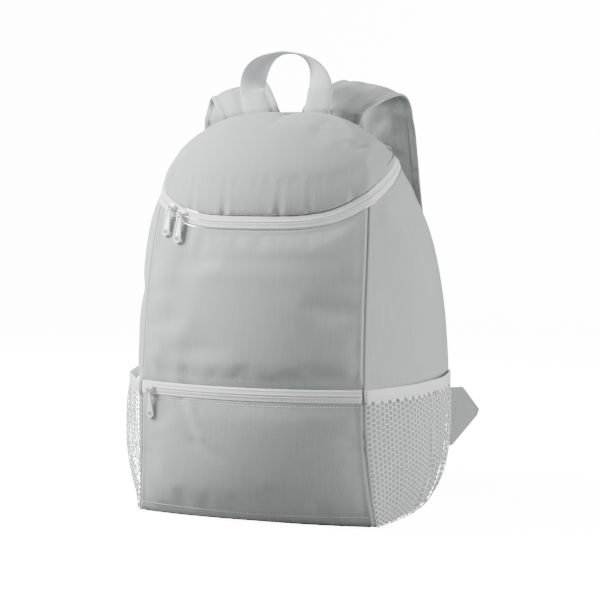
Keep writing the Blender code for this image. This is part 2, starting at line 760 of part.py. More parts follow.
# Sliders and pulls: a plate over the zip with a bridge along it, and the pull's eye on the bridge
def slider_and_pull(word, t, height_of):
    place, along, out, up = zip_frame(t, height_of)
    skew = Matrix.Rotation(math.radians(SLIDER_SKEW if height_of is zip_height else 0), 3, out)
    along, up = skew @ along, skew @ up
    base = ZIP_BEAD + GAP
    top = base + SLIDER_WALL
    axle = top + PIN_HEIGHT
    turned = Matrix((along, up, out)).transposed().to_4x4()
    frame = Matrix.Translation(place) @ turned

    middle = Matrix.Translation((0, 0, base + SLIDER_WALL / 2))
    bpy.ops.mesh.primitive_cube_add(size=1)
    plate = placed(f"{word}_slider", bag, frame @ middle, white_enamel)
    plate.scale = (SLIDER_LENGTH, SLIDER_WIDTH, SLIDER_WALL)
    edge = plate.modifiers.new("Edge", "BEVEL")
    edge.width = SLIDER_WALL / 4
    edge.segments = 2

    half = SLIDER_LENGTH / 2 - POST_WALL
    sunk = SLIDER_WALL / 2
    corner = 0.4 * PIN_HEIGHT
    arch = ((-half, -sunk), (-half, PIN_HEIGHT - corner), (corner - half, PIN_HEIGHT))
    arch += tuple((-a, n) for a, n in reversed(arch))
    rings = []
    sides = 10
    for k, (a, n) in enumerate(arch):
        before, after = arch[max(k - 1, 0)], arch[min(k + 1, len(arch) - 1)]
        slope = math.atan2(after[1] - before[1], after[0] - before[0])
        ring = []
        for i in range(sides):
            turn = math.radians(360) * i / sides
            u, n_off = PIN_RADIUS * math.cos(turn), PIN_RADIUS * math.sin(turn)
            spot = (a - math.sin(slope) * n_off, u, top + n + math.cos(slope) * n_off)
            ring.append(frame @ Vector(spot))
        rings.append(ring)
    bridge = loft(f"{word}_bridge", rings, white_enamel)
    bag.objects.unlink(bridge)
    cutters.objects.link(bridge)
    bridge.hide_render = True
    bridge.display_type = "WIRE"
    combine(plate, bridge, "UNION")

    # The pull's eye is loose on the bridge, so the pull hangs plumb where the zip slopes
    pin = frame @ Vector((0, 0, axle))
    level = Vector((0, 0, 1)).cross(out).normalized()
    below = skin(t, height_of(t) - PULL_LENGTH)
    rest = below + skin_normal(t, height_of(t) - PULL_LENGTH) * (PULL_WALL + REST_GAP)
    hang = rest - pin
    hang = (hang - level * hang.dot(level)).normalized()
    face = level.cross(hang)
    hung = Matrix.Translation(pin) @ Matrix((level, -hang, -face)).transposed().to_4x4()
    outline = []
    wide, neck = PULL_WIDTH / 2, PULL_NECK / 2
    end_steps = 8
    for k in range(end_steps + 1):
        turn = math.radians(180) * (k / end_steps - 1)
        outline.append((wide * math.cos(turn), wide * math.sin(turn) - PULL_LENGTH + wide))
    outline += [(neck, -KNUCKLE_RADIUS * 1.6), (KNUCKLE_WIDTH / 2, -KNUCKLE_RADIUS * 0.9)]
    outline += [(-KNUCKLE_WIDTH / 2, -KNUCKLE_RADIUS * 0.9), (-neck, -KNUCKLE_RADIUS * 1.6)]
    rings = [[Vector((a, u, n * PULL_WALL / 2)) for a, u in outline] for n in (-1, 1)]
    pull = loft(f"{word}_pull", rings, white_enamel)
    pull.matrix_world = hung
    across = Matrix.Rotation(math.radians(90), 4, "Y")
    deep = 4 * PULL_WALL
    for tool, radius, depth, where, operation in (
        ("eye", KNUCKLE_RADIUS, KNUCKLE_WIDTH, across, "UNION"),
        ("eye_hole", PIN_RADIUS + RUNNING_GAP, 2 * KNUCKLE_WIDTH, across, "DIFFERENCE"),
        ("end_hole", PULL_HOLE, deep, Matrix.Translation((0, wide - PULL_LENGTH, 0)), "DIFFERENCE"),
    ):
        bpy.ops.mesh.primitive_cylinder_add(vertices=14, radius=radius, depth=depth)
        shape = placed(f"{word}_{tool}", cutters, hung @ where, white_enamel)
        combine(pull, shape, operation)


def sliders_and_pulls():
    for word, t in zip(("main_front", "main_end"), MAIN_SLIDERS[::-1]):
        slider_and_pull(word, t, zip_height)
    slider_and_pull("pocket", POCKET_SLIDER, pocket_zip_height)


base_panel()
front_panel()
side_panels()
back_panel()
lid_panel()
zips()
front_pocket()
net_pockets()
shoulder_straps()
handle()
strap_ends()
sliders_and_pulls()
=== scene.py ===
"""Looks of the cooler backpack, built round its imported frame. Metres, +Z up, front towards -Y."""

import math

import bmesh
import bpy
from mathutils import Matrix, Vector
from mathutils.bvhtree import BVHTree
from mathutils.noise import noise


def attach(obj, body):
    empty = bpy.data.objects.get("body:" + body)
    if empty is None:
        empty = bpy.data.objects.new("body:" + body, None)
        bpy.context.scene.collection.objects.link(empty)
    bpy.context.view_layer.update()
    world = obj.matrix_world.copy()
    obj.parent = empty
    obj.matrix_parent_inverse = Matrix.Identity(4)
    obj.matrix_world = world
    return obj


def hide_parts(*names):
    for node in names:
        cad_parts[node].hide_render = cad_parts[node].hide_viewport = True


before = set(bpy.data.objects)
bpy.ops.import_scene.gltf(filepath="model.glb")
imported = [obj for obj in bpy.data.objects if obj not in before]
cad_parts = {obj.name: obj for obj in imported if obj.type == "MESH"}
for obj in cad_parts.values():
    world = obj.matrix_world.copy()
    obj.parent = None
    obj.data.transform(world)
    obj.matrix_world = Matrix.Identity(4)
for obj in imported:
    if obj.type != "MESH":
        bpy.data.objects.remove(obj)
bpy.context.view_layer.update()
scene = bpy.context.scene
MM = 0.001


# Camera, at the height of the lid's front edge and turned 18 degrees to the bag's right side.
camera_data = bpy.data.cameras.new("camera")
camera_data.sensor_width = 36
camera_data.lens = 87.78
camera = bpy.data.objects.new("camera", camera_data)
camera.location = (0.4500, -1.3326, 0.3166)
camera.rotation_euler = (math.radians(85.1), 0, math.radians(18))
scene.collection.objects.link(camera)
scene.camera = camera


def hex_colour(code):
    """An sRGB colour such as #b4b8b6 as linear red, green, blue and alpha."""
    parts = [int(code[i : i + 2], 16) / 255 for i in (1, 3, 5)]
    return (*(c / 12.92 if c <= 0.04045 else ((c + 0.055) / 1.055) ** 2.4 for c in parts), 1)


def add_node(tree, kind, inputs=None, **settings):
    """A new node with its settings; inputs hold values, or other nodes' sockets to link."""
    made = tree.nodes.new(kind)
    for key, value in settings.items():
        setattr(made, key, value)
    for key, value in (inputs or {}).items():
        if isinstance(value, bpy.types.NodeSocket):
            tree.links.new(value, made.inputs[key])
        else:
            made.inputs[key].default_value = value
    return made


def new_material(name, colour, roughness, **values):
    material = bpy.data.materials.new(name)
    material.use_nodes = True
    shader = material.node_tree.nodes["Principled BSDF"]
    shader.inputs["Base Color"].default_value = hex_colour(colour)
    shader.inputs["Roughness"].default_value = roughness
    for key, value in values.items():
        shader.inputs[key.replace("_", " ")].default_value = value
    return material, material.node_tree, shader


# Studio: a pale sweep of paper for floor and wall, a strong soft light from the left, a weaker
# one from the right and behind that lights the side panel, and a dim even surround. The camera
# sees the paper overexposed, as in a product photograph, while the bag is lit by a darker one.
FLOOR_HALF, SWEEP_START, SWEEP_RADIUS, WALL_TOP = 4.0, 1.6, 1.0, 5.0


def studio():
    steps = 16
    line = [(-4.0, 0.0), (SWEEP_START, 0.0)]
    for k in range(1, steps + 1):
        turn = math.radians(90) * k / steps
        y = SWEEP_START + SWEEP_RADIUS * math.sin(turn)
        line.append((y, SWEEP_RADIUS * (1 - math.cos(turn))))
    line.append((SWEEP_START + SWEEP_RADIUS, WALL_TOP))
    points = [(x, y, z - 0.2 * MM) for y, z in line for x in (-FLOOR_HALF, FLOOR_HALF)]
    faces = [(2 * k, 2 * k + 1, 2 * k + 3, 2 * k + 2) for k in range(len(line) - 1)]
    mesh = bpy.data.meshes.new("paper_sweep")
    mesh.from_pydata(points, [], faces)
    mesh.shade_smooth()
    paper, tree, shader = new_material("studio_paper", "#808080", 0.9)
    seen = add_node(tree, "ShaderNodeLightPath").outputs["Is Camera Ray"]
    white = add_node(tree, "ShaderNodeBsdfDiffuse", {"Color": (4, 4, 4, 1)})
    glow = add_node(tree, "ShaderNodeEmission", {"Strength": 12.0})
    bright = add_node(tree, "ShaderNodeAddShader", {0: white.outputs[0], 1: glow.outputs[0]})
    mixed = add_node(
        tree, "ShaderNodeMixShader", {0: seen, 1: shader.outputs[0], 2: bright.outputs[0]}
    )
    tree.links.new(mixed.outputs[0], tree.nodes["Material Output"].inputs["Surface"])
    mesh.materials.append(paper)
    sweep = bpy.data.objects.new("paper_sweep", mesh)
    scene.collection.objects.link(sweep)
    for name, place, aim, size, power in (
        ("key_softbox", (-0.88, -0.30, 0.80), (0, 0, 0.2), 0.4, 37),
        ("side_softbox", (2.08, 0.18, 0.5), (0, 0, 0.2), 0.8, 50),
    ):
        light = bpy.data.lights.new(name, "AREA")
        light.size = size
        light.energy = power
        lamp = bpy.data.objects.new(name, light)
        lamp.location = place
        lamp.rotation_euler = (Vector(aim) - Vector(place)).to_track_quat("-Z", "Y").to_euler()
        scene.collection.objects.link(lamp)
    world = bpy.data.worlds.new("surround")
    world.use_nodes = True
    world.node_tree.nodes["Background"].inputs["Color"].default_value = hex_colour("#fbfdff")
    world.node_tree.nodes["Background"].inputs["Strength"].default_value = 0.42
    scene.world = world


studio()


# Front panel: foam-backed polyester canvas, cut in one piece and sewn into a seam on each side.
# Its edges turn in to the seams, with a narrow welt on this side of them, and the foam fills it.
BODY_WIDTH = 290 * MM
BODY_DEPTH = 180 * MM
BODY_HEIGHT = 378 * MM
WALL = 4 * MM
BACK_WALL = 5 * MM
GAP = 0.35 * MM
FLOOR_OF_WALLS = 0.4 * MM
FRONT_SHARE = 0.42
# The body's level sections, as in the solid: shares of its height, half width and half depth
SECTION_COLUMNS = ("height", "seam_x", "seam_y", "front_y", "back_x", "back_y", "bulge")
SECTIONS = (
    (0.000, 0.800, -0.930, -1.070, 0.905, 0.740, 0.090),
    (0.080, 0.773, -0.990, -1.190, 0.965, 0.870, 0.140),
    (0.210, 0.746, -1.040, -1.260, 1.000, 0.940, 0.165),
    (0.335, 0.738, -1.050, -1.270, 1.010, 0.940, 0.170),
    (0.530, 0.728, -0.950, -1.170, 0.975, 0.880, 0.180),
    (0.700, 0.714, -0.770, -1.010, 0.895, 0.740, 0.160),
    (0.850, 0.672, -0.520, -0.790, 0.745, 0.460, 0.110),
    (1.000, 0.571, -0.250, -0.550, 0.580, 0.090, 0.090),
)
ZIP_WIDTH = 10.5 * MM
HALF_ZIP = ZIP_WIDTH / 2 + GAP
ZIP_FRONT_HEIGHT = 273 * MM
ZIP_BACK_HEIGHT = 330 * MM
POCKET_ZIP_HEIGHT = 120 * MM
# How the zip climbs: along is t, from the front middle to the back seam, rise is a share
ZIP_COLUMNS = ("along", "rise")
ZIP_LINE = (
    (0.00, 0.000),
    (0.12, 0.006),
    (0.20, 0.028),
    (0.28, 0.090),
    (0.35, 0.210),
    (0.42, 0.385),
    (0.50, 0.540),
    (0.57, 0.655),
    (0.70, 0.825),
    (0.85, 0.950),
    (1.00, 1.000),
)
# Distances from a sewn edge at which the cloth is cut finer, for its turn into the seam
TURN_IN = (0, 0.35, 0.8, 1.4, 2.1, 3.0, 4.2, 5.8)
SEAM_DEPTH = 3.2 * MM
SEAM_ROUND = 2.4 * MM
SEAM_WELT = 0.45 * MM


def through(points, at):
    """A smooth curve through (place, value) points, read at a place; straight beyond the ends."""
    last = len(points) - 1
    i = max(0, min(last - 1, sum(at >= place for place, _ in points) - 1))
    slopes = []
    for k in (i, i + 1):
        a, b = points[max(k - 1, 0)], points[min(k + 1, last)]
        slopes.append((b[1] - a[1]) / (b[0] - a[0]))
    (x0, y0), (x1, y1) = points[i], points[i + 1]
    span = x1 - x0
    s = (at - x0) / span
    if s < 0:
        return y0 + slopes[0] * (at - x0)
    if s > 1:
        return y1 + slopes[1] * (at - x1)
    return (
        (2 * s**3 - 3 * s**2 + 1) * y0
        + (s**3 - 2 * s**2 + s) * span * slopes[0]
        + (3 * s**2 - 2 * s**3) * y1
        + (s**3 - s**2) * span * slopes[1]
    )


def ease(low, high, at):
    s = max(0.0, min(1.0, (at - low) / (high - low)))
    return s * s * (3 - 2 * s)


def read(rows, columns, column, at):
    """A column of a table on a smooth curve, at a place in the table's first column."""
    k = columns.index(column)
    return through([(row[0], row[k]) for row in rows], at)


def section(column, height):
    half = BODY_WIDTH / 2 if column.endswith("_x") else BODY_DEPTH / 2
    return half * read(SECTIONS, SECTION_COLUMNS, column, height / BODY_HEIGHT)


def inner_back(height):
    """Where a piece sewn against the inside of the leaning back panel ends."""
    lean = (section("back_y", height + MM) - section("back_y", height - MM)) / (2 * MM)
    return section("back_y", height) - (BACK_WALL + GAP) * math.hypot(1, lean) - GAP


def skin(t, height):
    """The body's outer face: t runs from 0 at the front middle to 1 at the right back seam."""
    side = -1 if t < 0 else 1
    seam = Vector((section("seam_x", height), section("seam_y", height)))
    if abs(t) <= FRONT_SHARE:
        s = abs(t) / FRONT_SHARE
        front = section("front_y", height)
        return Vector((side * s * seam.x, front + (seam.y - front) * s * s, height))
    back = Vector((section("back_x", height), inner_back(height)))
    s = (abs(t) - FRONT_SHARE) / (1 - FRONT_SHARE)
    chord = back - seam
    out = Vector((chord.y, -chord.x)).normalized()
    flat = seam + chord * s + out * 4 * section("bulge", height) * s * (1 - s)
    return Vector((side * flat.x, flat.y, height))


def skin_normal(t, height):
    step = 0.002
    side = -1 if t < 0 else 1
    inner, outer = (0, FRONT_SHARE) if abs(t) <= FRONT_SHARE else (FRONT_SHARE, 1)
    a = max(abs(t) - step, inner + 1e-6)
    b = min(abs(t) + step, outer)
    along = (skin(side * b, height) - skin(side * a, height)) * side
    up = skin(t, height + MM) - skin(t, height - MM)
    return along.cross(up).normalized()


def outside(t, height, off):
    return skin(t, height) + skin_normal(t, height) * off


def share_at(distance, height):
    """The share of t that a distance along the skin takes, in front of the seam and behind it."""
    front = section("seam_x", height)
    side = section("back_y", height) - section("seam_y", height)
    return distance * FRONT_SHARE / front, distance * (1 - FRONT_SHARE) / side


def zip_height(t):
    climb = ZIP_BACK_HEIGHT - ZIP_FRONT_HEIGHT
    return ZIP_FRONT_HEIGHT + climb * read(ZIP_LINE, ZIP_COLUMNS, "rise", abs(t))


def under_zip(t):
    """The height of the wall's top edge, just under the slanting main zip."""
    step = 0.01
    a, b = max(abs(t) - step, 0), min(abs(t) + step, 1)
    low, high = skin(a, zip_height(a)), skin(b, zip_height(b))
    run = math.hypot(high.x - low.x, high.y - low.y)
    return zip_height(t) - HALF_ZIP * math.hypot(1, (high.z - low.z) / run) - 2 * GAP


def cuts(length, step, low=TURN_IN, high=TURN_IN):
    """Shares of a length to cut it at: finer near its two sewn ends and even between them."""
    low, high = [d * MM for d in low], [length - d * MM for d in high]
    count = max(1, round((high[-1] - low[-1]) / step))
    middle = [low[-1] + (high[-1] - low[-1]) * k / count for k in range(count + 1)]
    return [d / length for d in low[:-1] + middle + high[-2::-1]]


def finished(name, shape):
    """A mesh from a bmesh, with its normals out."""
    bmesh.ops.recalc_face_normals(shape, faces=shape.faces)
    mesh = bpy.data.meshes.new(name)
    shape.to_mesh(mesh)
    shape.free()
    return mesh


def add_piece(name, mesh, material, body):
    """A finished mesh as a piece that rides on a body and takes its finish from a slot."""
    piece = bpy.data.objects.new(name, mesh)
    scene.collection.objects.link(piece)
    mesh.materials.append(material)
    mesh.shade_smooth()
    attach(piece, body)
    return piece


def cloth_sheet(name, surface, us, vs, size, off):
    """An open sheet of canvas through surface(u, v), moved off(u, v) along its normal; UVs are
    metres."""
    mesh = bpy.data.meshes.new(name)
    wide = len(us)
    starts = [k for k in range(wide * (len(vs) - 1)) if (k + 1) % wide]
    faces = [(k, k + 1, k + 1 + wide, k + wide) for k in starts]
    mesh.from_pydata([surface(u, v) for v in vs for u in us], [], faces)
    normals = [vertex.normal.copy() for vertex in mesh.vertices]
    for vertex, normal in zip(mesh.vertices, normals):
        j, i = divmod(vertex.index, wide)
        vertex.co += normal * off(us[i], vs[j])
    cut = mesh.uv_layers.new(name="cut")
    for loop in mesh.loops:
        j, i = divmod(loop.vertex_index, wide)
        cut.data[loop.index].uv = (us[i] * size[0], vs[j] * size[1])
    return add_piece(name, mesh, canvas, "root")


def turned_in(distance, depth=SEAM_DEPTH, reach=SEAM_ROUND):
    """How far the cloth sinks at a distance from the seam it turns in to."""
    s = max(0.0, 1 - distance / reach)
    return -depth * (1 - math.sqrt(1 - s * s))


def welt(side):
    """The narrow ridge beside a side seam, at a distance from it."""
    return SEAM_WELT * math.exp(-(((side - 3.4 * MM) / (1.3 * MM)) ** 2))


def apply_all(piece):
    bpy.ops.object.select_all(action="DESELECT")
    piece.select_set(True)
    bpy.context.view_layer.objects.active = piece
    for step in list(piece.modifiers):
        bpy.ops.object.modifier_apply(modifier=step.name)


def billow(piece, held, pressure, growth, cap):
    """Cloth simulation: the sheet, a little larger than its opening, fills with the foam under
    it. held gives how firmly each point is sewn down, from 0 to 1, and cap how far it may go."""
    mesh = piece.data
    before = [vertex.co.copy() for vertex in mesh.vertices]
    firm = [max(0.0, min(1.0, held(place))) for place in before]
    group = piece.vertex_groups.new(name="sewn")
    for k, weight in enumerate(firm):
        group.add([k], weight, "REPLACE")
    cloth = piece.modifiers.new("Cloth", "CLOTH")
    cloth.point_cache.frame_start = 1
    cloth.point_cache.frame_end = 20
    rules = cloth.settings
    rules.vertex_group_mass = "sewn"
    rules.quality = 5
    rules.use_pressure = True
    rules.uniform_pressure_force = pressure
    rules.shrink_min = -growth
    rules.bending_stiffness = 3
    rules.effector_weights.gravity = 0
    for count in range(1, 21):
        scene.frame_set(count)
    apply_all(piece)
    scene.frame_set(1)
    for vertex, start, weight in zip(mesh.vertices, before, firm):
        move = (vertex.co - start) * (1 - weight)
        vertex.co = start + move * min(1, cap / max(move.length, 1e-9))


def press(piece, folds):
    """Listed creases on a sheet seen from the front: rows of x0, z0, x1, z1 (mm), the depth
    (mm, less than 0 for a ridge) and the width (mm)."""
    normals = [vertex.normal.copy() for vertex in piece.data.vertices]
    for vertex, normal in zip(piece.data.vertices, normals):
        spot = Vector((vertex.co.x, vertex.co.z)) / MM
        sink = 0
        for x0, z0, x1, z1, depth, width in folds:
            start, run = Vector((x0, z0)), Vector((x1 - x0, z1 - z0))
            s = max(0, min(1, (spot - start).dot(run) / max(run.length_squared, 1e-9)))
            away = (spot - start - run * s).length
            taper = 1 - 0.6 * s
            sink += depth * taper * math.exp(-((away / width) ** 2))
        vertex.co -= normal * sink * MM


def back_with(piece, wall, level=1):
    """Gives a sheet its padded wall inwards, and one subdivision that rounds it."""
    thick = piece.modifiers.new("Wall", "SOLIDIFY")
    thick.thickness = wall
    thick.offset = -1
    smooth = piece.modifiers.new("Round", "SUBSURF")
    smooth.levels = smooth.render_levels = level
    apply_all(piece)


def cut_lines(tree):
    """The cloth's own lines: metres across and along its cut."""
    return add_node(tree, "ShaderNodeUVMap", uv_map="cut").outputs["UV"]


def ribs(tree, cut, pitch, way, distortion, detail=2.0):
    """Even ribs across X or along Y of the cut, a pitch apart."""
    values = {"Vector": cut, "Scale": 0.314 / pitch, "Distortion": distortion, "Detail": detail}
    return add_node(tree, "ShaderNodeTexWave", values, bands_direction=way).outputs["Fac"]


def speckle(tree, place, scale, detail):
    values = {"Vector": place, "Scale": scale, "Detail": detail}
    return add_node(tree, "ShaderNodeTexNoise", values).outputs["Fac"]


def two_tone(tree, shader, value, low, high, ends=(0.3, 0.7)):
    """The colour goes from low to high as the value goes from one end to the other."""
    tone = add_node(tree, "ShaderNodeValToRGB", {"Fac": value})
    for stop, end, colour in zip(tone.color_ramp.elements, ends, (low, high)):
        stop.position = end
        stop.color = hex_colour(colour)
    tree.links.new(tone.outputs["Color"], shader.inputs["Base Color"])


def bumped(tree, shader, height, strength, depth):
    values = {"Height": height, "Strength": strength, "Distance": depth}
    bump = add_node(tree, "ShaderNodeBump", values)
    tree.links.new(bump.outputs["Normal"], shader.inputs["Normal"])


def canvas_material():
    """Matte woven polyester canvas. The real weave, about 0.5 mm, is drawn at 1.1 mm to show."""
    material, tree, shader = new_material(
        "polyester_canvas", "#b1b6b4", 0.86, Sheen_Weight=0.15, Specular_IOR_Level=0.3
    )
    cut = cut_lines(tree)
    threads = [ribs(tree, cut, 1.1 * MM, way, 0.6, 1.0) for way in ("X", "Y")]
    weave = add_node(tree, "ShaderNodeMath", {0: threads[0], 1: threads[1]}, operation="MULTIPLY")
    # Slubs: thicker upright yarns, some 2 mm apart and 30 mm long
    drawn = add_node(tree, "ShaderNodeMapping", {"Vector": cut, "Scale": (520, 34, 1)})
    slubs = speckle(tree, drawn.outputs["Vector"], 1.0, 2.0)
    blend = {0: 0.45, 2: slubs, 3: speckle(tree, cut, 16.0, 2.0)}
    mixed = add_node(tree, "ShaderNodeMix", blend, data_type="FLOAT")
    two_tone(tree, shader, mixed.outputs[0], "#abb1af", "#b7bcba")
    raised = {0: slubs, 1: 0.6, 2: weave.outputs[0]}
    relief = add_node(tree, "ShaderNodeMath", raised, operation="MULTIPLY_ADD")
    bumped(tree, shader, relief.outputs[0], 0.3, 0.25 * MM)
    return material


canvas = canvas_material()


def front_panel():
    setback = 1.5 * MM + 3 * MM + WALL / 2
    low, high = POCKET_ZIP_HEIGHT - 4 * MM, POCKET_ZIP_HEIGHT + 9.5 * MM
    width, length = 2 * section("seam_x", 0.2), ZIP_FRONT_HEIGHT

    def face(u, v):
        a = 2 * u - 1
        height = FLOOR_OF_WALLS + (under_zip(a * FRONT_SHARE) - FLOOR_OF_WALLS) * v
        back = 1 - ease(low, high, height)
        inset, _ = share_at(0.3 * MM + back * (WALL + setback / 2), height)
        return outside(a * (FRONT_SHARE - inset), height, -setback * back)

    def edge(u, v):
        side = min(u, 1 - u) * width
        if length * v < high:
            return 0
        return turned_in(side) + turned_in((1 - v) * length, 1.2 * MM, 2.5 * MM) + welt(side)

    us, vs = cuts(width, 5 * MM), cuts(length, 5 * MM, (0, 20))
    piece = cloth_sheet("front_panel_canvas", face, us, vs, (width, length), edge)

    def held(place):
        side = abs(place.x) / section("seam_x", place.z)
        near_top = under_zip(FRONT_SHARE * side) - place.z
        by_pulls = 1 - ease(16 * MM, 34 * MM, math.hypot(place.x + 0.072, place.z - 0.262))
        edges = 1 - ease(0, 9 * MM, min((1 - side) * 0.105, near_top, place.z - high))
        return max(edges, by_pulls)

    billow(piece, held, 3.0, 0.012, 5 * MM)
    press(
        piece,
        (
            (-60.5, 267, -65.5, 246, 2.0, 3.0),
            (-55.0, 268, -59.0, 246, -1.2, 4.0),
            (-78, 134, -80, 163, 0.9, 8),
            (-55, 133, -51, 164, 1.1, 10),
            (-66, 133, -66, 158, -0.7, 6),
            (54, 133, 60, 150, 1.0, 14),
            (-46, 238, 76, 240, 1.0, 8),
            (-46, 228, 60, 228, -0.8, 8),
            (-80, 236, -92, 172, -1.4, 12),
            (-62, 232, -76, 172, 1.2, 12),
        ),
    )
    back_with(piece, WALL)
    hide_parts("front_panel")


front_panel()


# Side panels: the same padded canvas, from the front seam round to the back panel. They bow out
# between their seams, and the net pockets lie over their lower third.
def side_panels():
    length = ZIP_FRONT_HEIGHT + 20 * MM
    width = 0.172
    for word, side in (("right", 1), ("left", -1)):

        def face(u, v):
            u = u if side > 0 else 1 - u
            _, inset = share_at(0.3 * MM, 0.126)
            t = FRONT_SHARE + inset + (1 - FRONT_SHARE - inset) * u
            height = FLOOR_OF_WALLS + (under_zip(t) - FLOOR_OF_WALLS) * v
            return skin(side * t, height)

        def edge(u, v):
            return (
                turned_in(min(u, 1 - u) * width)
                + turned_in((1 - v) * length, 1.2 * MM, 2.5 * MM)
                + turned_in(v * length, 1.5 * MM)
            )

        us, vs = cuts(width, 6 * MM), cuts(length, 6 * MM)
        piece = cloth_sheet(f"side_panel_canvas_{word}", face, us, vs, (width, length), edge)

        def held(place):
            seam = place.y - section("seam_y", place.z)
            back = inner_back(place.z) - place.y
            share = max(0, min(1, seam / (seam + back)))
            top = under_zip(FRONT_SHARE + (1 - FRONT_SHARE) * share) - place.z
            low = 1 - ease(100 * MM, 150 * MM, place.z)
            return max(low, 1 - ease(0, 14 * MM, min(seam, back, top)))

        billow(piece, held, 2.5, 0.008, 4 * MM)
        back_with(piece, WALL)
        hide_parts(f"side_panel_{word}")


side_panels()


# Back panel: thicker padding under canvas, arched at the top where the lid is sewn to it. It is
# hidden in the photograph, so it is plain. Its side edges don't reach the side panels, which
# leaves a slot at each back seam that a real bag doesn't have.
BACK_CUSHION = 3 * MM
CROWN_COLUMNS = ("along", "wide", "rise")
CROWN = (
    (0.00, 0.000, 1.000),
    (0.26, 0.290, 0.985),
    (0.40, 0.450, 0.910),
    (0.54, 0.595, 0.780),
    (0.67, 0.720, 0.600),
    (0.78, 0.815, 0.410),
    (0.92, 0.930, 0.130),
    (1.00, 1.000, 0.000),
)


def crown(a):
    """The back panel's arched top edge: a runs from 0 at the middle to 1 at the right zip end."""
    low = ZIP_BACK_HEIGHT + HALF_ZIP + 2 * MM
    wide, rise = (read(CROWN, CROWN_COLUMNS, name, abs(a)) for name in ("wide", "rise"))
    return math.copysign(section("back_x", low) * wide, a), low + (BODY_HEIGHT - low) * rise


def back_panel():
    width, length = BODY_WIDTH, BODY_HEIGHT

    def face(u, v):
        a = 1 - 2 * u
        wide, top = crown(a)
        height = FLOOR_OF_WALLS + (top - FLOOR_OF_WALLS) * v
        low = min(height, crown(1)[1])
        x = a * section("back_x", low) * (1 - v**3) + wide * v**3
        cushion = BACK_CUSHION * (1 - a * a) * math.sin(math.pi * v)
        return Vector((x, section("back_y", height) + cushion, height))

    def edge(u, v):
        return (
            turned_in(min(u, 1 - u) * width, 3.5 * MM, 5 * MM)
            + turned_in((1 - v) * length, 3 * MM, 5 * MM)
            + turned_in(v * length, 2 * MM)
        )

    us, vs = cuts(width, 7 * MM), cuts(length, 7 * MM)
    piece = cloth_sheet("back_panel_canvas", face, us, vs, (width, length), edge)

    def held(place):
        edges = min(section("back_x", place.z) - abs(place.x), place.z - FLOOR_OF_WALLS)
        return max(ease(0.27, 0.31, place.z), 1 - ease(0, 20 * MM, edges))

    billow(piece, held, 3.0, 0.008, 3 * MM)
    back_with(piece, BACK_WALL)
    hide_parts("back_panel")


back_panel()


# Base: canvas over a stiff board, with a rounded edge, sewn in between the walls' lower edges.
def base_panel():
    steps, round_steps = 48, 4
    thick, soft = 3 * MM, 1.5 * MM
    around = [skin(k / steps, 0) for k in range(-steps, steps + 1)]
    around[0].y = around[-1].y = section("back_y", 0)
    last = len(around)
    middle = Vector((0, sum(p.y for p in around) / last, 0))
    around = [spot + (middle - spot).normalized() * (WALL + 0.4 * MM) for spot in around]
    shape = bmesh.new()
    rings = []
    for k in range(2 * round_steps + 1):
        turn = math.radians(90) * (k / round_steps - 1)
        inwards = soft * (1 - math.cos(turn))
        z = thick / 2 + soft * math.sin(turn)
        ring = []
        for spot in around:
            way = (middle - spot).normalized()
            ring.append(shape.verts.new((spot + way * inwards).xy.to_3d() + Vector((0, 0, z))))
        rings.append(ring)
    for low, high in zip(rings, rings[1:]):
        for k in range(last):
            m = (k + 1) % last
            shape.faces.new((low[k], low[m], high[m], high[k]))
    shape.faces.new(rings[0][::-1])
    shape.faces.new(rings[-1])
    cut = shape.loops.layers.uv.new("cut")
    for face in shape.faces:
        for loop in face.loops:
            loop[cut].uv = loop.vert.co.xy
    piece = add_piece(
        "base_canvas", finished("base_canvas", shape), canvas, "root"
    )
    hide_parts("base_panel")


base_panel()


# Lid: one domed padded panel of the same canvas, gathered a little where it is sewn to the zip,
# so that small puckers stand over the zip line, and sewn to the arched back panel behind.
LID_SEAM_DROP = 3 * MM
LID_ROUNDNESS = 0.75
# Puckers over the zip seam, in the photograph's order: place along the zip (t), depth in mm
PUCKERS = (
    (-0.262, 2.4),
    (-0.115, 3.2),
    (0.10, 3.0),
    (0.215, 2.0),
    (0.375, 2.6),
    (0.62, 1.4),
    (-0.55, 1.4),
)


def zip_frame(t, height_of):
    """Place, way along, way out and way up at one point of a zip line that lies on the skin."""
    step = 0.004
    a, b = max(t - step, -1), min(t + step, 1)
    along = (skin(b, height_of(b)) - skin(a, height_of(a))).normalized()
    near = [skin_normal(max(-1, min(1, t + k * 0.02)), height_of(t)) for k in (-1, 0, 1)]
    out = sum(near, Vector())
    out = (out - along * out.dot(along)).normalized()
    return skin(t, height_of(t)), along, out, out.cross(along).normalized()


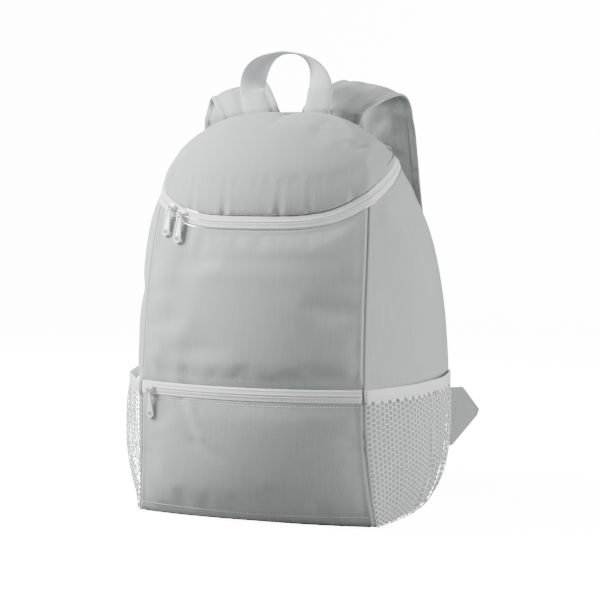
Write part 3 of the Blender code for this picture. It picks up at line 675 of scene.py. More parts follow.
def lid_panel():
    width, length = 0.44, 0.13
    inset = share_at(GAP, ZIP_BACK_HEIGHT)[1]
    ends = {}

    def column(u):
        a = (2 * u - 1) * (1 - inset)
        place, _, _, up = zip_frame(a, zip_height)
        start = place + up * (HALF_ZIP + GAP)
        x, z = crown(a)
        z -= LID_SEAM_DROP * (1 - abs(a))
        end = Vector((x, min(inner_back(z), inner_back(z + WALL)) + 1.5 * MM, z))
        chord = end - start
        out = (start + end) / 2
        out.x *= 0.4
        out.y -= section("front_y", ZIP_FRONT_HEIGHT) / 5
        out.z -= ZIP_FRONT_HEIGHT
        out -= chord * (out.dot(chord) / chord.length_squared)
        return a, start, chord, out.normalized() * 0.17 * (1 - a * a) * chord.length

    def face(u, q):
        if u not in ends:
            ends[u] = column(u)
        _, start, chord, bulge = ends[u]
        return start + chord * q + bulge * (4 * q * (1 - q)) ** LID_ROUNDNESS

    def edge(u, q):
        a, _, chord, _ = ends[u]
        reach = min(1, chord.length / (40 * MM))
        front, back = q * chord.length, (1 - q) * chord.length
        sink = turned_in(front, 1.3 * MM * reach, 3 * MM) + turned_in(back, 1 * MM * reach, 3 * MM)
        for t, depth in PUCKERS:
            fade = math.exp(-front / (7 * MM)) * min(1, front / (1.2 * MM))
            close = abs(a - t) / 0.009
            sink -= depth * MM * fade * reach * math.exp(-(close**2))
            sink += 0.45 * depth * MM * fade * reach * math.exp(-((close - 2.2) ** 2))
        return sink

    us = cuts(width, 3.2 * MM, (0, 1.5, 3.5), (0, 1.5, 3.5))
    rows = cuts(length, 3.6 * MM)
    piece = cloth_sheet("lid_canvas", face, us, rows, (width, length), edge)
    wide = len(us)
    firm = {}
    for vertex in piece.data.vertices:
        j, i = divmod(vertex.index, wide)
        across = min(rows[j], 1 - rows[j]) * ends[us[i]][2].length
        firm[tuple(vertex.co)] = 1 - ease(0, 38 * MM, min(across, min(us[i], 1 - us[i]) * width))
    billow(piece, lambda place: firm[tuple(place)], 3.0, 0.006, 4 * MM)
    press(
        piece,
        (
            (5, 379, 3, 371, 3.2, 6),
            (48, 360, 66, 357, 1.8, 8),
            (71, 346, 94, 339.5, 1.0, 2.6),
            (72, 350, 94, 344, -0.7, 3),
            (60, 343, 84, 332, -0.8, 7),
        ),
    )
    back_with(piece, WALL)
    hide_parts("lid_panel")


lid_panel()


# Front pocket: a single layer of canvas over the lower front, sewn in at both seams and the base
# and top-stitched under its zip. It lies loosely, with soft folds where it is caught.
def front_pocket():
    top = POCKET_ZIP_HEIGHT - HALF_ZIP
    width, length = 2 * section("seam_x", 0.08), top - FLOOR_OF_WALLS

    def face(u, v):
        a = 2 * u - 1
        height = FLOOR_OF_WALLS + (top - FLOOR_OF_WALLS) * v
        inset, _ = share_at(0.3 * MM, height)
        off = 4 * MM * (1 - a * a) * max(0, math.sin(math.pi * v)) ** 0.7
        return outside(a * (FRONT_SHARE - inset), height, off)

    def edge(u, v):
        side = min(u, 1 - u) * width
        sunk = 0.35 * MM * math.exp(-((((1 - v) * length - 3.2 * MM) / (1.1 * MM)) ** 2))
        sunk += 0.35 * MM * math.exp(-(((v * length - 9.5 * MM) / (1.2 * MM)) ** 2))
        return (
            turned_in(side)
            + turned_in((1 - v) * length, 1.0 * MM, 2.0 * MM)
            + turned_in(v * length, 3.0 * MM, 6.5 * MM)
            + welt(side)
            - sunk
        )

    us, vs = cuts(width, 4.5 * MM), cuts(length, 3.6 * MM)
    piece = cloth_sheet("front_pocket_canvas", face, us, vs, (width, length), edge)

    def held(place):
        side = (1 - abs(place.x) / section("seam_x", place.z)) * 0.108
        by_pull = 1 - ease(14 * MM, 26 * MM, math.hypot(place.x + 0.095, place.z - 0.108))
        return max(by_pull, 1 - ease(0, 10 * MM, min(side, top - place.z, place.z - FLOOR_OF_WALLS)))

    billow(piece, held, 1.5, 0.004, 2 * MM)
    press(
        piece,
        (
            (-62, 112, -48, 76, 1.3, 4.5),
            (-48, 76, -22, 62, 1.0, 4.5),
            (-54, 112, -42, 82, -1.0, 5),
            (-40, 80, -18, 68, -0.8, 5),
            (106, 84, 82, 80, 1.1, 4),
            (106, 73, 80, 70, 1.2, 3.5),
            (106, 78, 84, 75, -0.7, 3),
            (-100, 60, -88, 26, 0.8, 8),
        ),
    )
    back_with(piece, 1.5 * MM)
    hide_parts("front_pocket")
    return piece


pocket_canvas = front_pocket()


# Zips: white woven tape, folded at the slit so that the coil stays hidden inside, in two halves.
# Each half is sewn along its outer edge, with a line of stitches that sinks into the tape.
ZIP_SLIT = 0.4 * MM


def flat_outline(width, wall, steps=4):
    """The two half-round edges of a flat band's outline, each as a list of points."""
    edges = []
    for side in (1, -1):
        turns = [math.radians(-90 * side + 180 * k / steps) for k in range(steps + 1)]
        middle = side * (width - wall) / 2
        rounds = [(middle + wall / 2 * math.cos(a), wall / 2 * math.sin(a)) for a in turns]
        edges.append(rounds)
    return edges


def swept(name, rings):
    """A tube mesh through rings of points; UVs are metres round the ring and along the sweep."""
    count = len(rings[0])
    round_it = [0.0]
    for k in range(count):
        round_it.append(round_it[-1] + (rings[0][(k + 1) % count] - rings[0][k]).length)
    run = [0.0]
    for low, high in zip(rings, rings[1:]):
        step = (sum(high, Vector()) - sum(low, Vector())).length / count
        run.append(run[-1] + step)
    tube = bmesh.new()
    cut = tube.loops.layers.uv.new("cut")
    lines = [[tube.verts.new(point) for point in ring] for ring in rings]
    for j, (low, high) in enumerate(zip(lines, lines[1:])):
        for k in range(count):
            m = (k + 1) % count
            face = tube.faces.new((low[k], low[m], high[m], high[k]))
            spots = ((k, j), (k + 1, j), (k + 1, j + 1), (k, j + 1))
            for loop, (x, y) in zip(face.loops, spots):
                loop[cut].uv = (round_it[x], run[y])
    tube.faces.new(lines[0][::-1])
    tube.faces.new(lines[-1])
    return finished(name, tube)


def tape_material():
    """Zip tape: close-woven white polyester with a fine rib across it every 0.9 mm."""
    material, tree, shader = new_material(
        "zip_tape", "#f4f4f5", 0.75, Sheen_Weight=0.1, Specular_IOR_Level=0.25
    )
    cut = cut_lines(tree)
    two_tone(tree, shader, speckle(tree, cut, 60.0, 2.0), "#f0f0f2", "#f9f9f9")
    bumped(tree, shader, ribs(tree, cut, 0.9 * MM, "Y", 0.4), 0.25, 0.2 * MM)
    return material


tape = tape_material()


def zips():
    reach = 1 - share_at(2 * GAP, ZIP_BACK_HEIGHT)[1]
    front_reach = FRONT_SHARE - share_at(1.2 * MM, POCKET_ZIP_HEIGHT)[0]
    edge = ZIP_WIDTH / 2
    # The half tape's outline: distance from the slit's middle and height off the skin, in mm
    outline = (
        (ZIP_SLIT / 2 / MM, -1.1),
        (ZIP_SLIT / 2 / MM, 0.15),
        (0.45, 0.55),
        (0.75, 0.78),
        (1.15, 0.80),
        (1.6, 0.62),
        (2.1, 0.42),
        (3.1, 0.38),
        (3.6, 0.20),
        (3.9, 0.20),
        (4.3, 0.36),
        (4.9, 0.34),
        (edge / MM, 0.05),
        (edge / MM, -0.65),
        (edge / MM + 1.1, -0.75),
        (edge / MM + 1.1, -1.15),
        (edge / MM, -1.2),
    )
    for kind, height_of, span, steps in (
        ("main", zip_height, reach, 150),
        ("pocket", lambda t: POCKET_ZIP_HEIGHT, front_reach, 60),
    ):
        frames = [zip_frame(span * (2 * k / steps - 1), height_of) for k in range(steps + 1)]
        for word, way in (("upper", 1), ("lower", -1)):
            rings = [
                [place + up * way * w * MM + out * n * MM for w, n in outline]
                for place, _, out, up in frames
            ]
            name = f"{kind}_zip_tape_{word}"
            piece = add_piece(name, swept(name, rings), tape, "root")
            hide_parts(f"{kind}_zip_{word}")


zips()


# Net side pockets: knitted white polyester net, rounded holes some 4.5 mm across, sewn in at both
# side seams and the base and gathered a little, so that it stands off the panel in loose folds.
NET_HEIGHT = 115 * MM
NET_BULGE = 13 * MM
NET_RIM_SHARE = 0.62
NET_PITCH_X, NET_PITCH_Z = 4.5, 4.8
NET_HOLE, NET_HOLE_SHARE = 2.1, 0.86


def net_off(u, v):
    """How far the net stands off the side panel: u from front seam to back, v from base to rim."""
    across = max(0, math.sin(math.pi * u)) ** 0.75
    rim = NET_RIM_SHARE * math.sin(math.pi * min(v, 0.5))
    belly = (1 - NET_RIM_SHARE) * max(0, math.sin(math.pi * v)) ** 0.6
    fold = 1 + 0.1 * math.cos(6 * math.pi * u)
    return NET_BULGE * across * fold * (rim + belly)


def net_share(u):
    inset = share_at(0.3 * MM, NET_HEIGHT / 2)[1]
    return FRONT_SHARE + inset + (0.97 - FRONT_SHARE - inset) * u


# Loose folds of the net: place across (u), width in u, how far it stands out in mm, lean
NET_FOLDS = (
    (0.24, 0.030, 1.4, 0.10),
    (0.46, 0.015, 3.6, 0.06),
    (0.52, 0.022, -1.6, 0.06),
    (0.70, 0.020, 2.2, 0.16),
    (0.86, 0.016, 1.6, -0.05),
)


def net_pockets():
    width, height = 0.166, NET_HEIGHT - FLOOR_OF_WALLS + 2 * MM
    knit, tree, shader = new_material("knitted_net", "#f3f4f4", 0.7, Sheen_Weight=0.2)
    spot = add_node(tree, "ShaderNodeTexCoord").outputs["Object"]
    bumped(tree, shader, speckle(tree, spot, 1400.0, 2.0), 0.4, 0.2 * MM)
    dx, dz = NET_PITCH_X * MM, NET_PITCH_Z * MM
    corner_at = [(math.cos(math.radians(60 * k)), math.sin(math.radians(60 * k))) for k in range(6)]
    for word, side in (("right", 1), ("left", -1)):

        def place(x, z):
            u, v = max(0, min(1, x / width)), max(0, min(1.02, z / height))
            tall = FLOOR_OF_WALLS + z
            off = net_off(u, min(1, v)) + 1.35 * MM
            for at, wide, out, lean in NET_FOLDS:
                close = (u - at - lean * (v - 0.5)) / wide
                off += out * MM * math.exp(-(close**2)) * math.sin(math.pi * min(1, v)) ** 0.5
            low = math.exp(-z / (16 * MM)) * math.sin(math.pi * u)
            off += low * 0.7 * MM * math.sin(u * 74 + 0.6)
            off += 0.5 * MM * noise(Vector((x * 60, z * 60, side)))
            return outside(side * net_share(u), tall, max(off, 0.9 * MM))

        sheet = bmesh.new()
        corners = {}

        def corner(x, z):
            x, z = max(0, min(width, x)), max(0, min(height, z))
            key = (round(x * 1e5), round(z * 1e5))
            if key not in corners:
                corners[key] = sheet.verts.new(place(x, z))
            return corners[key]

        for i in range(int(width / dx) + 3):
            for j in range(int(height / dz) + 3):
                cx, cz = (i - 0.45) * dx, (j - 0.45 + 0.5 * (i % 2)) * dz
                inside = dx / 2 < cx < width - dx / 2 and dz / 2 < cz < height - dz / 2
                spots = []
                for k in range(6):
                    (ax, az), (bx, bz) = corner_at[k], corner_at[(k + 1) % 6]
                    spots += [(ax, az), ((ax + bx) / 2, (az + bz) / 2)]
                outer, inner = [], []
                tall = dz / 2 / math.sin(math.radians(60))
                for ax, az in spots:
                    outer.append(corner(cx + ax * dx * 2 / 3, cz + az * tall))
                    if not inside:
                        continue
                    size = math.hypot(ax, az)
                    x = ax * (0.6 * NET_HOLE_SHARE * dx * 2 / 3 + 0.4 * NET_HOLE * MM / size)
                    z = az * (0.6 * NET_HOLE_SHARE * tall + 0.4 * NET_HOLE * MM / size)
                    inner.append(sheet.verts.new(place(cx + x, cz + z)))
                if not inside:
                    rim = list(dict.fromkeys(outer))
                    overlaps = -dx / 3 < cx < width + dx / 3 and -dz / 3 < cz < height + dz / 3
                    if overlaps and len(rim) > 3 and not sheet.faces.get(rim):
                        sheet.faces.new(rim)
                    continue
                for k in range(12):
                    m = (k + 1) % 12
                    sheet.faces.new((outer[k], outer[m], inner[m], inner[k]))
        name = f"net_{word}"
        piece = add_piece(name, finished(name, sheet), knit, "root")
        thick = piece.modifiers.new("Yarn", "SOLIDIFY")
        thick.thickness = 0.6 * MM
        thick.offset = 0
        apply_all(piece)
        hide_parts(f"net_pocket_{word}")


net_pockets()


# Net bindings: flat white elastic tape folded over the net's rim, 12 mm high, sewn through both
# layers near its lower edge.
def net_bindings():
    steps = 60
    low, high, wall = NET_HEIGHT + GAP, NET_HEIGHT + GAP + 11 * MM, 1.8 * MM
    elastic, tree, shader = new_material("elastic_tape", "#f2f2f5", 0.6, Sheen_Weight=0.15)
    bumped(tree, shader, ribs(tree, cut_lines(tree), 1.3 * MM, "X", 0.3), 0.15, 0.2 * MM)
    outline = []
    for middle_z, turn_from in ((high - wall / 2, 0), (low + wall / 2, 180)):
        for turn in (math.radians(turn_from + 180 * k / 4) for k in range(5)):
            outline.append((wall / 2 * math.cos(turn), middle_z + wall / 2 * math.sin(turn)))
    for word, side in (("right", 1), ("left", -1)):
        rings = []
        for k in range(steps + 1):
            u = k / steps
            t = side * net_share(u)
            middle = wall / 2 + GAP + net_off(u, 1)
            rings.append([outside(t, z, middle + n) for n, z in outline])
        name = f"net_binding_tape_{word}"
        piece = add_piece(name, swept(name, rings), elastic, "root")
        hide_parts(f"net_binding_{word}")


net_bindings()


# Shoulder straps: foam between two layers of canvas, 62 mm wide over all, arching over the top
# from the back panel. A folded binding is sewn round both long edges and the lower end.
STRAP_WIDTH = 62 * MM
STRAP_PADDING = 7 * MM
STRAP_EDGE = 2.6 * MM
STRAP_BINDING = 8 * MM
STRAP_STANDOFF = 75 * MM
STRAP_COLUMNS = ("out", "off", "height", "tilt")
STRAP_STATIONS = (
    (0.235, 0.072, 0.885, 0),
    (0.238, 0.080, 0.905, 0),
    (0.250, 0.116, 0.935, 1),
    (0.265, 0.140, 0.965, 3),
    (0.295, 0.205, 0.998, 6),
    (0.350, 0.340, 1.025, 10),
    (0.420, 0.560, 1.050, 13),
    (0.490, 0.800, 1.062, 14),
    (0.530, 0.900, 1.035, 12),
    (0.555, 0.830, 0.975, 9),
    (0.565, 0.680, 0.900, 6),
    (0.575, 0.520, 0.800, 3),
    (0.590, 0.430, 0.680, 0),
    (0.620, 0.400, 0.560, 0),
    (0.660, 0.400, 0.450, 0),
    (0.710, 0.380, 0.350, 0),
)


def strap_read(column, s):
    k = STRAP_COLUMNS.index(column)
    last = len(STRAP_STATIONS) - 1
    return through([(i / last, row[k]) for i, row in enumerate(STRAP_STATIONS)], s)


def strap_line(side, s):
    height = BODY_HEIGHT * strap_read("height", s)
    x = BODY_WIDTH / 2 * strap_read("out", s)
    lean = section("back_y", min(height, BODY_HEIGHT))
    return Vector((side * x, lean + STRAP_STANDOFF * strap_read("off", s), height))


def strap_frame(side, s):
    """Place, way across towards the outer edge, and way out of the strap's face."""
    step = 0.01
    along = (strap_line(side, s + step) - strap_line(side, s - step)).normalized()
    tilt = math.radians(strap_read("tilt", s))
    across = Vector((side * math.cos(tilt), 0, -math.sin(tilt)))
    return strap_line(side, s), across, (along.cross(across) * -side).normalized()


def strap_length():
    tail = 0.02
    return (strap_line(1, 1) - strap_line(1, 1 - tail)).length / tail


def shoulder_straps():
    pad = STRAP_WIDTH / 2 - STRAP_BINDING - GAP
    under = 3 * MM
    length = strap_length()
    end = 1 - (STRAP_BINDING + GAP) / length
    half, thin = STRAP_PADDING / 2, STRAP_EDGE / 2
    sides = 18
    profile = []
    for way in (-1, 1):
        for k in range(sides + 1):
            w = way * (2 * k / sides - 1)
            rise = thin + (half - thin) * (1 - abs(w) ** 3.2) ** 0.6
            profile.append((pad * w, way * rise))
        profile.append((way * (pad + under), way * (thin - 0.35 * MM)))
        profile.append((way * (pad + under), -way * (thin - 0.35 * MM)))
    steps = 120
    for word, side in (("right", 1), ("left", -1)):
        rings = []
        for k in range(steps + 1):
            place, across, out = strap_frame(side, end * k / steps)
            rings.append([place + across * w + out * n for w, n in profile])
        name = f"strap_pad_{word}"
        piece = add_piece(name, swept(name, rings), canvas, "root")
        firm = []
        for k in range(steps + 1):
            ends = 1 - ease(0, 0.05, min(k, steps - k) / steps)
            firm += [max(ends, ease(0.6, 0.9, abs(w) / pad)) for w, _ in profile]
        told = iter(firm)
        billow(piece, lambda place: next(told), 2.5, 0.01, 1.6 * MM)
        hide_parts(f"shoulder_strap_{word}")

        middle = STRAP_WIDTH / 2 - STRAP_BINDING / 2
        count = 110
        rim = [(end * length * k / count, -middle) for k in range(count)]
        turn_steps = 6
        rim.append((length - STRAP_BINDING / 2, -middle))
        for k in range(1, turn_steps):
            rim.append((length - STRAP_BINDING / 2, middle * (2 * k / turn_steps - 1)))
        rim += [(run, -w) for run, w in reversed(rim[: count + 1])]
        band = sum(flat_outline(STRAP_BINDING, STRAP_EDGE), [])
        rings = []
        for k, spot in enumerate(rim):
            before = Vector(spot) - Vector(rim[max(k - 1, 0)])
            after = Vector(rim[min(k + 1, len(rim) - 1)]) - Vector(spot)
            if before.length == 0:
                before = after
            if after.length == 0:
                after = before
            way = (before.normalized() + after.normalized()).normalized()
            wider = 1 / max(way.dot(after.normalized()), 0.5)
            ring = []
            for x, n in band:
                run = spot[0] - way.y * x * wider
                w = spot[1] + way.x * x * wider
                place, across, out = strap_frame(side, run / length)
                ring.append(place + across * w + out * n)
            rings.append(ring)
        name = f"strap_edge_binding_{word}"
        piece = add_piece(name, swept(name, rings), binding_cloth, "root")
        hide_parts(f"strap_binding_{word}")


def binding_material():
    """The same polyester as the canvas, cut as tape: finer, a little lighter and smoother."""
    material, tree, shader = new_material("binding_tape", "#b4b9b8", 0.75, Sheen_Weight=0.2)
    cut = cut_lines(tree)
    two_tone(tree, shader, speckle(tree, cut, 90.0, 3.0), "#aab0ae", "#bec3c1")
    bumped(tree, shader, ribs(tree, cut, 1.0 * MM, "Y", 0.5), 0.3, 0.25 * MM)
    return material


binding_cloth = binding_material()
shoulder_straps()


# Handle: one length of white 25 mm polyester webbing. Both feet are sewn flat on the back panel,
# and it turns on edge over the top.
WEBBING_WIDTH = 25 * MM
WEBBING_WALL = 1.6 * MM


def webbing_material():
    """Heavy plain-woven webbing: close ribs across it, 1.3 mm apart, and a firm selvedge."""
    material, tree, shader = new_material("polyester_webbing", "#f0f1f3", 0.7, Sheen_Weight=0.2)
    cut = cut_lines(tree)
    across, along = ribs(tree, cut, 1.3 * MM, "Y", 0.8, 1.0), ribs(tree, cut, 1.0 * MM, "X", 0.8)
    raised = {0: along, 1: 0.4, 2: across}
    relief = add_node(tree, "ShaderNodeMath", raised, operation="MULTIPLY_ADD")
    two_tone(tree, shader, across, "#e6e8eb", "#f6f7f8", (0, 1))
    bumped(tree, shader, relief.outputs[0], 0.5, 0.35 * MM)
    return material


webbing = webbing_material()


def ribbon(name, places, acrosses, width, wall):
    """Flat webbing along a line of places, with round edges; its width's way is given at each."""
    profile = []
    for side, edge in zip((1, -1), flat_outline(width, wall)):
        profile += edge + [(way * side * width / 6, side * wall / 2) for way in (1, -1)]
    rings = []
    for k, (place, across) in enumerate(zip(places, acrosses)):
        before, after = places[max(k - 1, 0)], places[min(k + 1, len(places) - 1)]
        along = (after - before).normalized()
        across = (across - along * across.dot(along)).normalized()
        out = along.cross(across)
        rings.append([place + across * x + out * n for x, n in profile])
    return add_piece(name, swept(name, rings), webbing, "root")


def handle():
    spread, splay, leg, arch, foot = 31 * MM, 3.5 * MM, 20 * MM, 35 * MM, 26 * MM
    foot_off = WEBBING_WALL / 2 + 2 * GAP
    top = BODY_HEIGHT
    places, acrosses = [], []
    flat_steps, steps = 8, 48
    for k in range(flat_steps):
        height = top - foot * (1 - k / flat_steps)
        y = section("back_y", height) + foot_off
        y += BACK_CUSHION * math.sin(math.pi * height / top)
        places.append(Vector((-spread, y, height)))
    y = section("back_y", top) + foot_off
    for k in range(flat_steps):
        share = k / flat_steps
        places.append(Vector((-spread - splay * share, y, top + leg * share)))
    acrosses += [Vector((1, 0, 0))] * len(places)
    for k in range(steps + 1):
        angle = math.radians(90) * k / steps
        wide = spread + splay
        rise = leg + arch * math.sin(angle)
        places.append(Vector((-wide * math.cos(angle), y, top + rise)))
        way = Vector((wide * math.sin(angle), 0, arch * math.cos(angle))).normalized()
        turn = math.radians(90) * ease(-0.15, 0.9, k / steps)
        across = Vector((way.z, 0, -way.x)) * math.cos(turn)
        acrosses.append(across + Vector((0, math.sin(turn), 0)))
    for place, across in list(zip(places, acrosses))[-2::-1]:
        places.append(Vector((-place.x, place.y, place.z)))
        acrosses.append(Vector((-across.x, across.y, across.z)))
    piece = ribbon("handle_webbing", places, acrosses, WEBBING_WIDTH, WEBBING_WALL)
    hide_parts("handle")


handle()


# Lower strap ends: a square of canvas folded to a tab in each back seam, with a hem along its
# upper edge, and 20 mm webbing from it up to the strap's lower end.
TAB_HEIGHT = 57 * MM
TAB_REACH = 31 * MM
TAB_MIDDLE = 78 * MM
TAB_WALL = 3 * MM


def strap_ends():
    yaw = math.radians(31)
    layer = 1.1 * MM
    for word, side in (("right", 1), ("left", -1)):
        away = Vector((side * math.cos(yaw), math.sin(yaw), 0))
        across = Vector((-side * math.sin(yaw), math.cos(yaw), 0))
        x = section("back_x", TAB_MIDDLE + TAB_HEIGHT / 2) + GAP / 2
        y = section("back_y", TAB_MIDDLE) - TAB_WALL
        root = Vector((side * x, y, TAB_MIDDLE))

        def on_tab(r, h, n):
            return root + away * TAB_REACH * r + across * n + Vector((0, 0, TAB_HEIGHT * h))

        def upper(s):
            """The tab's upper edge, from the seam (0) over the corner to the point (1)."""
            past = (s - 0.35) / 0.65
            return (0.45 * s / 0.35, 0.5) if past < 0 else (0.45 + 0.55 * past, 0.5 - 0.4 * past)

        def lower(s):
            """The tab's folded lower edge, from the seam (0) to the point (1)."""
            past = (s - 0.1) / 0.9
            return (s, -0.5) if past < 0 else (0.1 + 0.85 * past, -0.5 + 0.52 * past)

        columns, rows, turn_steps = 26, 18, 6
        rings = []
        for i in range(columns + 1):
            s = i / columns
            (ra, ha), (rb, hb) = upper(s), lower(s)
            line = []
            apart = (TAB_WALL - layer) / 2
            for j in range(rows + 1):
                q = j / rows
                hem = 0.35 * MM * (1 - ease(0.10, 0.13, q)) * (1 if 0.02 < s else 0)
                puff = 0.5 * MM * math.sin(math.pi * q) * math.sin(math.pi * min(1, s * 1.1))
                line.append(on_tab(ra + (rb - ra) * q, ha + (hb - ha) * q, -apart - hem - puff))
            for j in range(1, turn_steps):
                turn = math.radians(180) * j / turn_steps
                spot = on_tab(rb, hb, -apart * math.cos(turn))
                line.append(spot - Vector((0, 0, apart * math.sin(turn))))
            for j in range(rows, -1, -1):
                q = j / rows
                line.append(on_tab(ra + (rb - ra) * q, ha + (hb - ha) * q, apart))
            rings.append(line)
        count = len(rings[0])
        mesh = bpy.data.meshes.new(f"tab_canvas_{word}")
        faces = [
            (i * count + j, i * count + j + 1, (i + 1) * count + j + 1, (i + 1) * count + j)
            for i in range(columns)
            for j in range(count - 1)
        ]
        mesh.from_pydata([spot for line in rings for spot in line], [], faces)
        cut = mesh.uv_layers.new(name="cut")
        for loop in mesh.loops:
            i, j = divmod(loop.vertex_index, count)
            cut.data[loop.index].uv = (i / columns * TAB_REACH, j / count * 2 * TAB_HEIGHT)
        piece = add_piece(f"tab_canvas_{word}", mesh, canvas, "root")
        thick = piece.modifiers.new("Layer", "SOLIDIFY")
        thick.thickness = layer
        thick.offset = 0
        apply_all(piece)
        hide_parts(f"strap_tab_{word}")

        start = root + across * (TAB_WALL / 2 + 2 * GAP + WEBBING_WALL / 2)
        start += away * TAB_REACH * 0.55
        slant = math.radians(40)
        leaving = Vector((0, 0, 1)) * math.cos(slant) - away * math.sin(slant)
        level = away * math.cos(slant) + Vector((0, 0, 1)) * math.sin(slant)
        length = strap_length()
        lap, easing = 18 * MM / length, 18 * MM
        way = (strap_line(side, 0.98) - strap_line(side, 1)).normalized()
        under = -STRAP_PADDING / 2 - WEBBING_WALL / 2 - 2 * GAP

        def below(s):
            place, _, out = strap_frame(side, s)
            return place + out * under

        lower_end, stop = below(1 + lap / 3), below(1 - lap)
        curve = (start, start + leaving * easing, lower_end - way * easing, lower_end)
        places = [start - leaving * easing / 2 * (1 - k / 3) for k in range(3)]
        acrosses = [level] * 3
        steps = 30
        for k in range(steps + 1):
            s = k / steps
            shares = ((1 - s) ** 3, 3 * s * (1 - s) ** 2, 3 * s * s * (1 - s), s**3)
            places.append(sum((spot * share for spot, share in zip(curve, shares)), Vector()))
            acrosses.append(level.lerp(Vector((side, 0, 0)), ease(0.1, 1, s)))
        for k in range(1, 5):
            places.append(lower_end.lerp(stop, k / 4))
            acrosses.append(Vector((side, 0, 0)))
        piece = ribbon(f"strap_end_webbing_{word}", places, acrosses, 20 * MM, WEBBING_WALL)
        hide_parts(f"strap_webbing_{word}")


strap_ends()


# Sliders and pulls: die-cast zinc, enamelled white. The slider is a rounded plate with a bridge
# along it; the pull is a flat paddle with a raised rim and a round hole, hung on the bridge.
SLIDER_WIDTH = 8.5 * MM
SLIDER_LENGTH = 9 * MM
SLIDER_WALL = 1.8 * MM
PIN_RADIUS = 0.6 * MM
PIN_HEIGHT = 2.1 * MM
PULL_LENGTH = 28 * MM
PULL_WIDTH = 8.6 * MM
PULL_NECK = 5.2 * MM
PULL_WALL = 1.2 * MM
PULL_HOLE = 2.1 * MM
EYE_RADIUS = 1.8 * MM
# Each slider's place along its zip (t) and its turn back from the zip's slope in degrees
SLIDERS = (("main_front", -0.296, 12), ("main_end", -0.352, 12), ("pocket", -0.375, 0))


def start_alone():
    if bpy.context.object and bpy.context.object.mode != "OBJECT":
        bpy.ops.object.mode_set(mode="OBJECT")
    bpy.ops.object.select_all(action="DESELECT")


def pick(test):
    """In edit mode, selects the points that pass the test."""
    bpy.ops.object.mode_set(mode="OBJECT")
    mesh = bpy.context.object.data
    for part in (mesh.polygons, mesh.edges):
        part.foreach_set("select", [False] * len(part))
    for vertex in mesh.vertices:
        vertex.select = test(vertex.co)
    bpy.ops.object.mode_set(mode="EDIT")
    bpy.ops.mesh.select_mode(type="VERT")


def cut_with(target, tool, operation):
    step = target.modifiers.new(tool.name, "BOOLEAN")
    step.operation = operation
    step.solver = "EXACT"
    step.object = tool
    start_alone()
    apply_all(target)
    bpy.data.objects.remove(tool, do_unlink=True)


def cut_cylinder(target, radius, depth, operation, place=(0, 0, 0), turn=(0, 0, 0), sides=28):
    start_alone()
    bpy.ops.mesh.primitive_cylinder_add(
        vertices=sides, radius=radius, depth=depth, location=place, rotation=turn
    )
    cut_with(target, bpy.context.object, operation)


def rounded(piece, width, segments=3):
    start_alone()
    edge = piece.modifiers.new("Edge", "BEVEL")
    edge.width = width
    edge.segments = segments
    edge.limit_method = "ANGLE"
    edge.angle_limit = math.radians(35)
    apply_all(piece)
    bpy.ops.object.shade_smooth_by_angle(angle=math.radians(40))


def slider_model():
    """The slider in its own axes: X along the zip, Y up the tape, Z out of the skin."""
    start_alone()
    bpy.ops.mesh.primitive_cube_add(size=1, location=(0, 0, 0))
    plate = bpy.context.object
    plate.name = "slider_model"
    bpy.ops.object.mode_set(mode="EDIT")
    bpy.ops.mesh.select_all(action="SELECT")
    bpy.ops.transform.resize(value=(SLIDER_LENGTH, SLIDER_WIDTH, SLIDER_WALL))
    pick(lambda co: co.x > 0)
    bpy.ops.transform.resize(value=(1, 0.74, 1))
    bpy.ops.mesh.select_all(action="SELECT")
    bpy.ops.mesh.subdivide(number_cuts=2)
    pick(lambda co: abs(co.x) > 0.45 * SLIDER_LENGTH and abs(co.y) > 0.28 * SLIDER_WIDTH)
    bpy.ops.transform.resize(value=(0.9, 0.86, 1))
    bpy.ops.object.mode_set(mode="OBJECT")
    half = SLIDER_LENGTH / 2 - 0.9 * MM
    rise = SLIDER_WALL / 2 + PIN_HEIGHT
    quarter = (math.radians(90), 0, 0)
    for place, depth, turn in (
        ((0, 0, rise), 2 * half, (0, math.radians(90), 0)),
        ((-half, 0, rise / 2), rise, (0, 0, 0)),
        ((half, 0, rise / 2), rise, (0, 0, 0)),
    ):
        cut_cylinder(plate, PIN_RADIUS, depth, "UNION", place, turn, 16)
    for x in (-half, half):
        start_alone()
        bpy.ops.mesh.primitive_uv_sphere_add(
            segments=16, ring_count=8, radius=PIN_RADIUS * 1.02, location=(x, 0, rise), rotation=quarter
        )
        cut_with(plate, bpy.context.object, "UNION")
    rounded(plate, 0.3 * MM)
    return plate


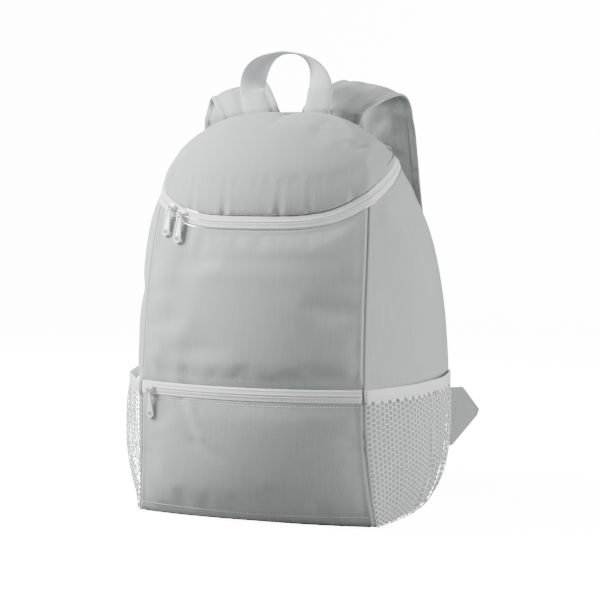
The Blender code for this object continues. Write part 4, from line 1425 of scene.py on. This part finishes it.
def pull_model():
    """The pull in its own axes: it hangs down -Y from its eye at the origin, Z out of its face."""
    start_alone()
    end = PULL_WIDTH / 2 - PULL_LENGTH
    bpy.ops.mesh.primitive_cylinder_add(
        vertices=32, radius=PULL_WIDTH / 2, depth=PULL_WALL, location=(0, end, 0)
    )
    paddle = bpy.context.object
    paddle.name = "pull_model"
    bpy.ops.object.transform_apply(location=True)
    bpy.ops.object.mode_set(mode="EDIT")
    pick(lambda co: co.y > end + 1e-6)
    bpy.ops.transform.resize(value=(PULL_NECK / PULL_WIDTH, 0.3, 1), center_override=(0, end, 0))
    bpy.ops.transform.translate(value=(0, -end - 2.9 * MM, 0))
    bpy.ops.object.mode_set(mode="OBJECT")
    for way in (-1, 1):
        bpy.ops.object.mode_set(mode="OBJECT")
        mesh = paddle.data
        for part in (mesh.vertices, mesh.edges):
            part.foreach_set("select", [False] * len(part))
        for flat in mesh.polygons:
            flat.select = len(flat.vertices) > 8 and flat.normal.z * way > 0.5
        bpy.ops.object.mode_set(mode="EDIT")
        bpy.ops.mesh.select_mode(type="FACE")
        bpy.ops.mesh.inset(thickness=1.0 * MM)
        bpy.ops.mesh.inset(thickness=0.25 * MM)
        bpy.ops.transform.translate(value=(0, 0, -0.28 * MM * way))
    bpy.ops.object.mode_set(mode="OBJECT")
    cut_cylinder(paddle, PULL_HOLE + 0.75 * MM, PULL_WALL * 0.98, "UNION", (0, end, 0))
    cut_cylinder(paddle, PULL_HOLE, 4 * PULL_WALL, "DIFFERENCE", (0, end, 0))
    for radius, depth, way in (
        (EYE_RADIUS, 1.6 * MM, "UNION"),
        (PIN_RADIUS + 0.6 * MM, 6 * MM, "DIFFERENCE"),
    ):
        cut_cylinder(paddle, radius, depth, way, turn=(0, math.radians(90), 0), sides=24)
    rounded(paddle, 0.16 * MM, 2)
    return paddle


def enamel_material():
    """White powder enamel over zinc: glossy, with a faint orange-peel surface."""
    material, tree, shader = new_material(
        "white_enamel", "#f7f7f6", 0.32, Coat_Weight=0.4, Coat_Roughness=0.15
    )
    place = add_node(tree, "ShaderNodeTexCoord").outputs["Object"]
    bumped(tree, shader, speckle(tree, place, 900.0, 1.0), 0.12, 0.1 * MM)
    return material


def sliders_and_pulls():
    enamel = enamel_material()
    slider, pull = slider_model(), pull_model()
    for word, t, skew in SLIDERS:
        height_of = zip_height if word != "pocket" else (lambda t: POCKET_ZIP_HEIGHT)
        place, along, out, up = zip_frame(t, height_of)
        turn = Matrix.Rotation(math.radians(skew), 3, out)
        along, up = turn @ along, turn @ up
        base = 0.9 * MM + GAP
        turned = Matrix((along, up, out)).transposed().to_4x4()
        seat = Matrix.Translation(place) @ turned
        mesh = slider.data.copy()
        mesh.transform(seat @ Matrix.Translation((0, 0, base + SLIDER_WALL / 2)))
        piece = add_piece(f"{word}_slider_body", mesh, enamel, "root")
        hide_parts(f"{word}_slider")
        pin = seat @ Vector((0, 0, base + SLIDER_WALL + PIN_HEIGHT))
        low = height_of(t) - PULL_LENGTH
        rest = skin(t, low) + skin_normal(t, low) * (PULL_WALL + 0.6 * MM)
        level = Vector((0, 0, 1)).cross(out).normalized()
        hang = rest - pin
        hang = (hang - level * hang.dot(level)).normalized()
        face = level.cross(hang)
        hung = Matrix.Translation(pin) @ Matrix((level, -hang, -face)).transposed().to_4x4()
        mesh = pull.data.copy()
        mesh.transform(hung)
        piece = add_piece(f"{word}_pull_tab", mesh, enamel, f"{word}_pull_body")
        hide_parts(f"{word}_pull")
    for model in (slider, pull):
        bpy.data.objects.remove(model, do_unlink=True)


sliders_and_pulls()


# Stitches: white polyester thread, sewn at 2.9 mm to the stitch, drawn a little thick so that
# they show. Each is modelled once and laid along its line on the cloth that is already there.
STITCH_PITCH = 2.9 * MM
STITCH_LENGTH = 2.0 * MM
THREAD_RADIUS = 0.36 * MM


def stitches(name, line, cloth, material):
    """A row of stitches along a line of points, each laid on the nearest cloth."""
    tree = BVHTree.FromObject(cloth, bpy.context.evaluated_depsgraph_get())
    shape = bmesh.new()
    spare = STITCH_PITCH / 2
    for start, end in zip(line, line[1:]):
        run = end - start
        while spare < run.length:
            spot, normal, _, _ = tree.find_nearest(start + run.normalized() * spare)
            way = (run - normal * run.dot(normal)).normalized()
            side = normal.cross(way)
            rings = []
            for s, size, sink in ((-0.5, 0.35, 0.7), (-0.22, 1, 0), (0.22, 1, 0), (0.5, 0.35, 0.7)):
                middle = spot + way * s * STITCH_LENGTH + normal * THREAD_RADIUS * (0.25 - sink)
                ring = []
                for k in range(6):
                    turn = math.radians(60 * k)
                    off = side * math.cos(turn) + normal * math.sin(turn)
                    ring.append(shape.verts.new(middle + off * THREAD_RADIUS * size))
                rings.append(ring)
            for low, high in zip(rings, rings[1:]):
                for k in range(6):
                    shape.faces.new((low[k], low[(k + 1) % 6], high[(k + 1) % 6], high[k]))
            shape.faces.new(rings[0][::-1])
            shape.faces.new(rings[-1])
            spare += STITCH_PITCH
        spare -= run.length
    return add_piece(name, finished(name, shape), material, "root")


def sewn_lines():
    thread, tree, shader = new_material("polyester_thread", "#eef0f0", 0.55, Sheen_Weight=0.2)
    place = add_node(tree, "ShaderNodeTexCoord").outputs["Object"]
    bumped(tree, shader, speckle(tree, place, 2500.0, 1.0), 0.3, 0.1 * MM)
    for name, height in (
        ("pocket_top_stitches", POCKET_ZIP_HEIGHT - HALF_ZIP - 3.2 * MM),
        ("pocket_base_stitches", FLOOR_OF_WALLS + 9.5 * MM),
    ):
        reach = FRONT_SHARE - share_at(4 * MM, height)[0]
        line = [outside(reach * (k / 20 - 1), height, 2 * MM) for k in range(41)]
        stitches(name, line, pocket_canvas, thread)


sewn_lines()
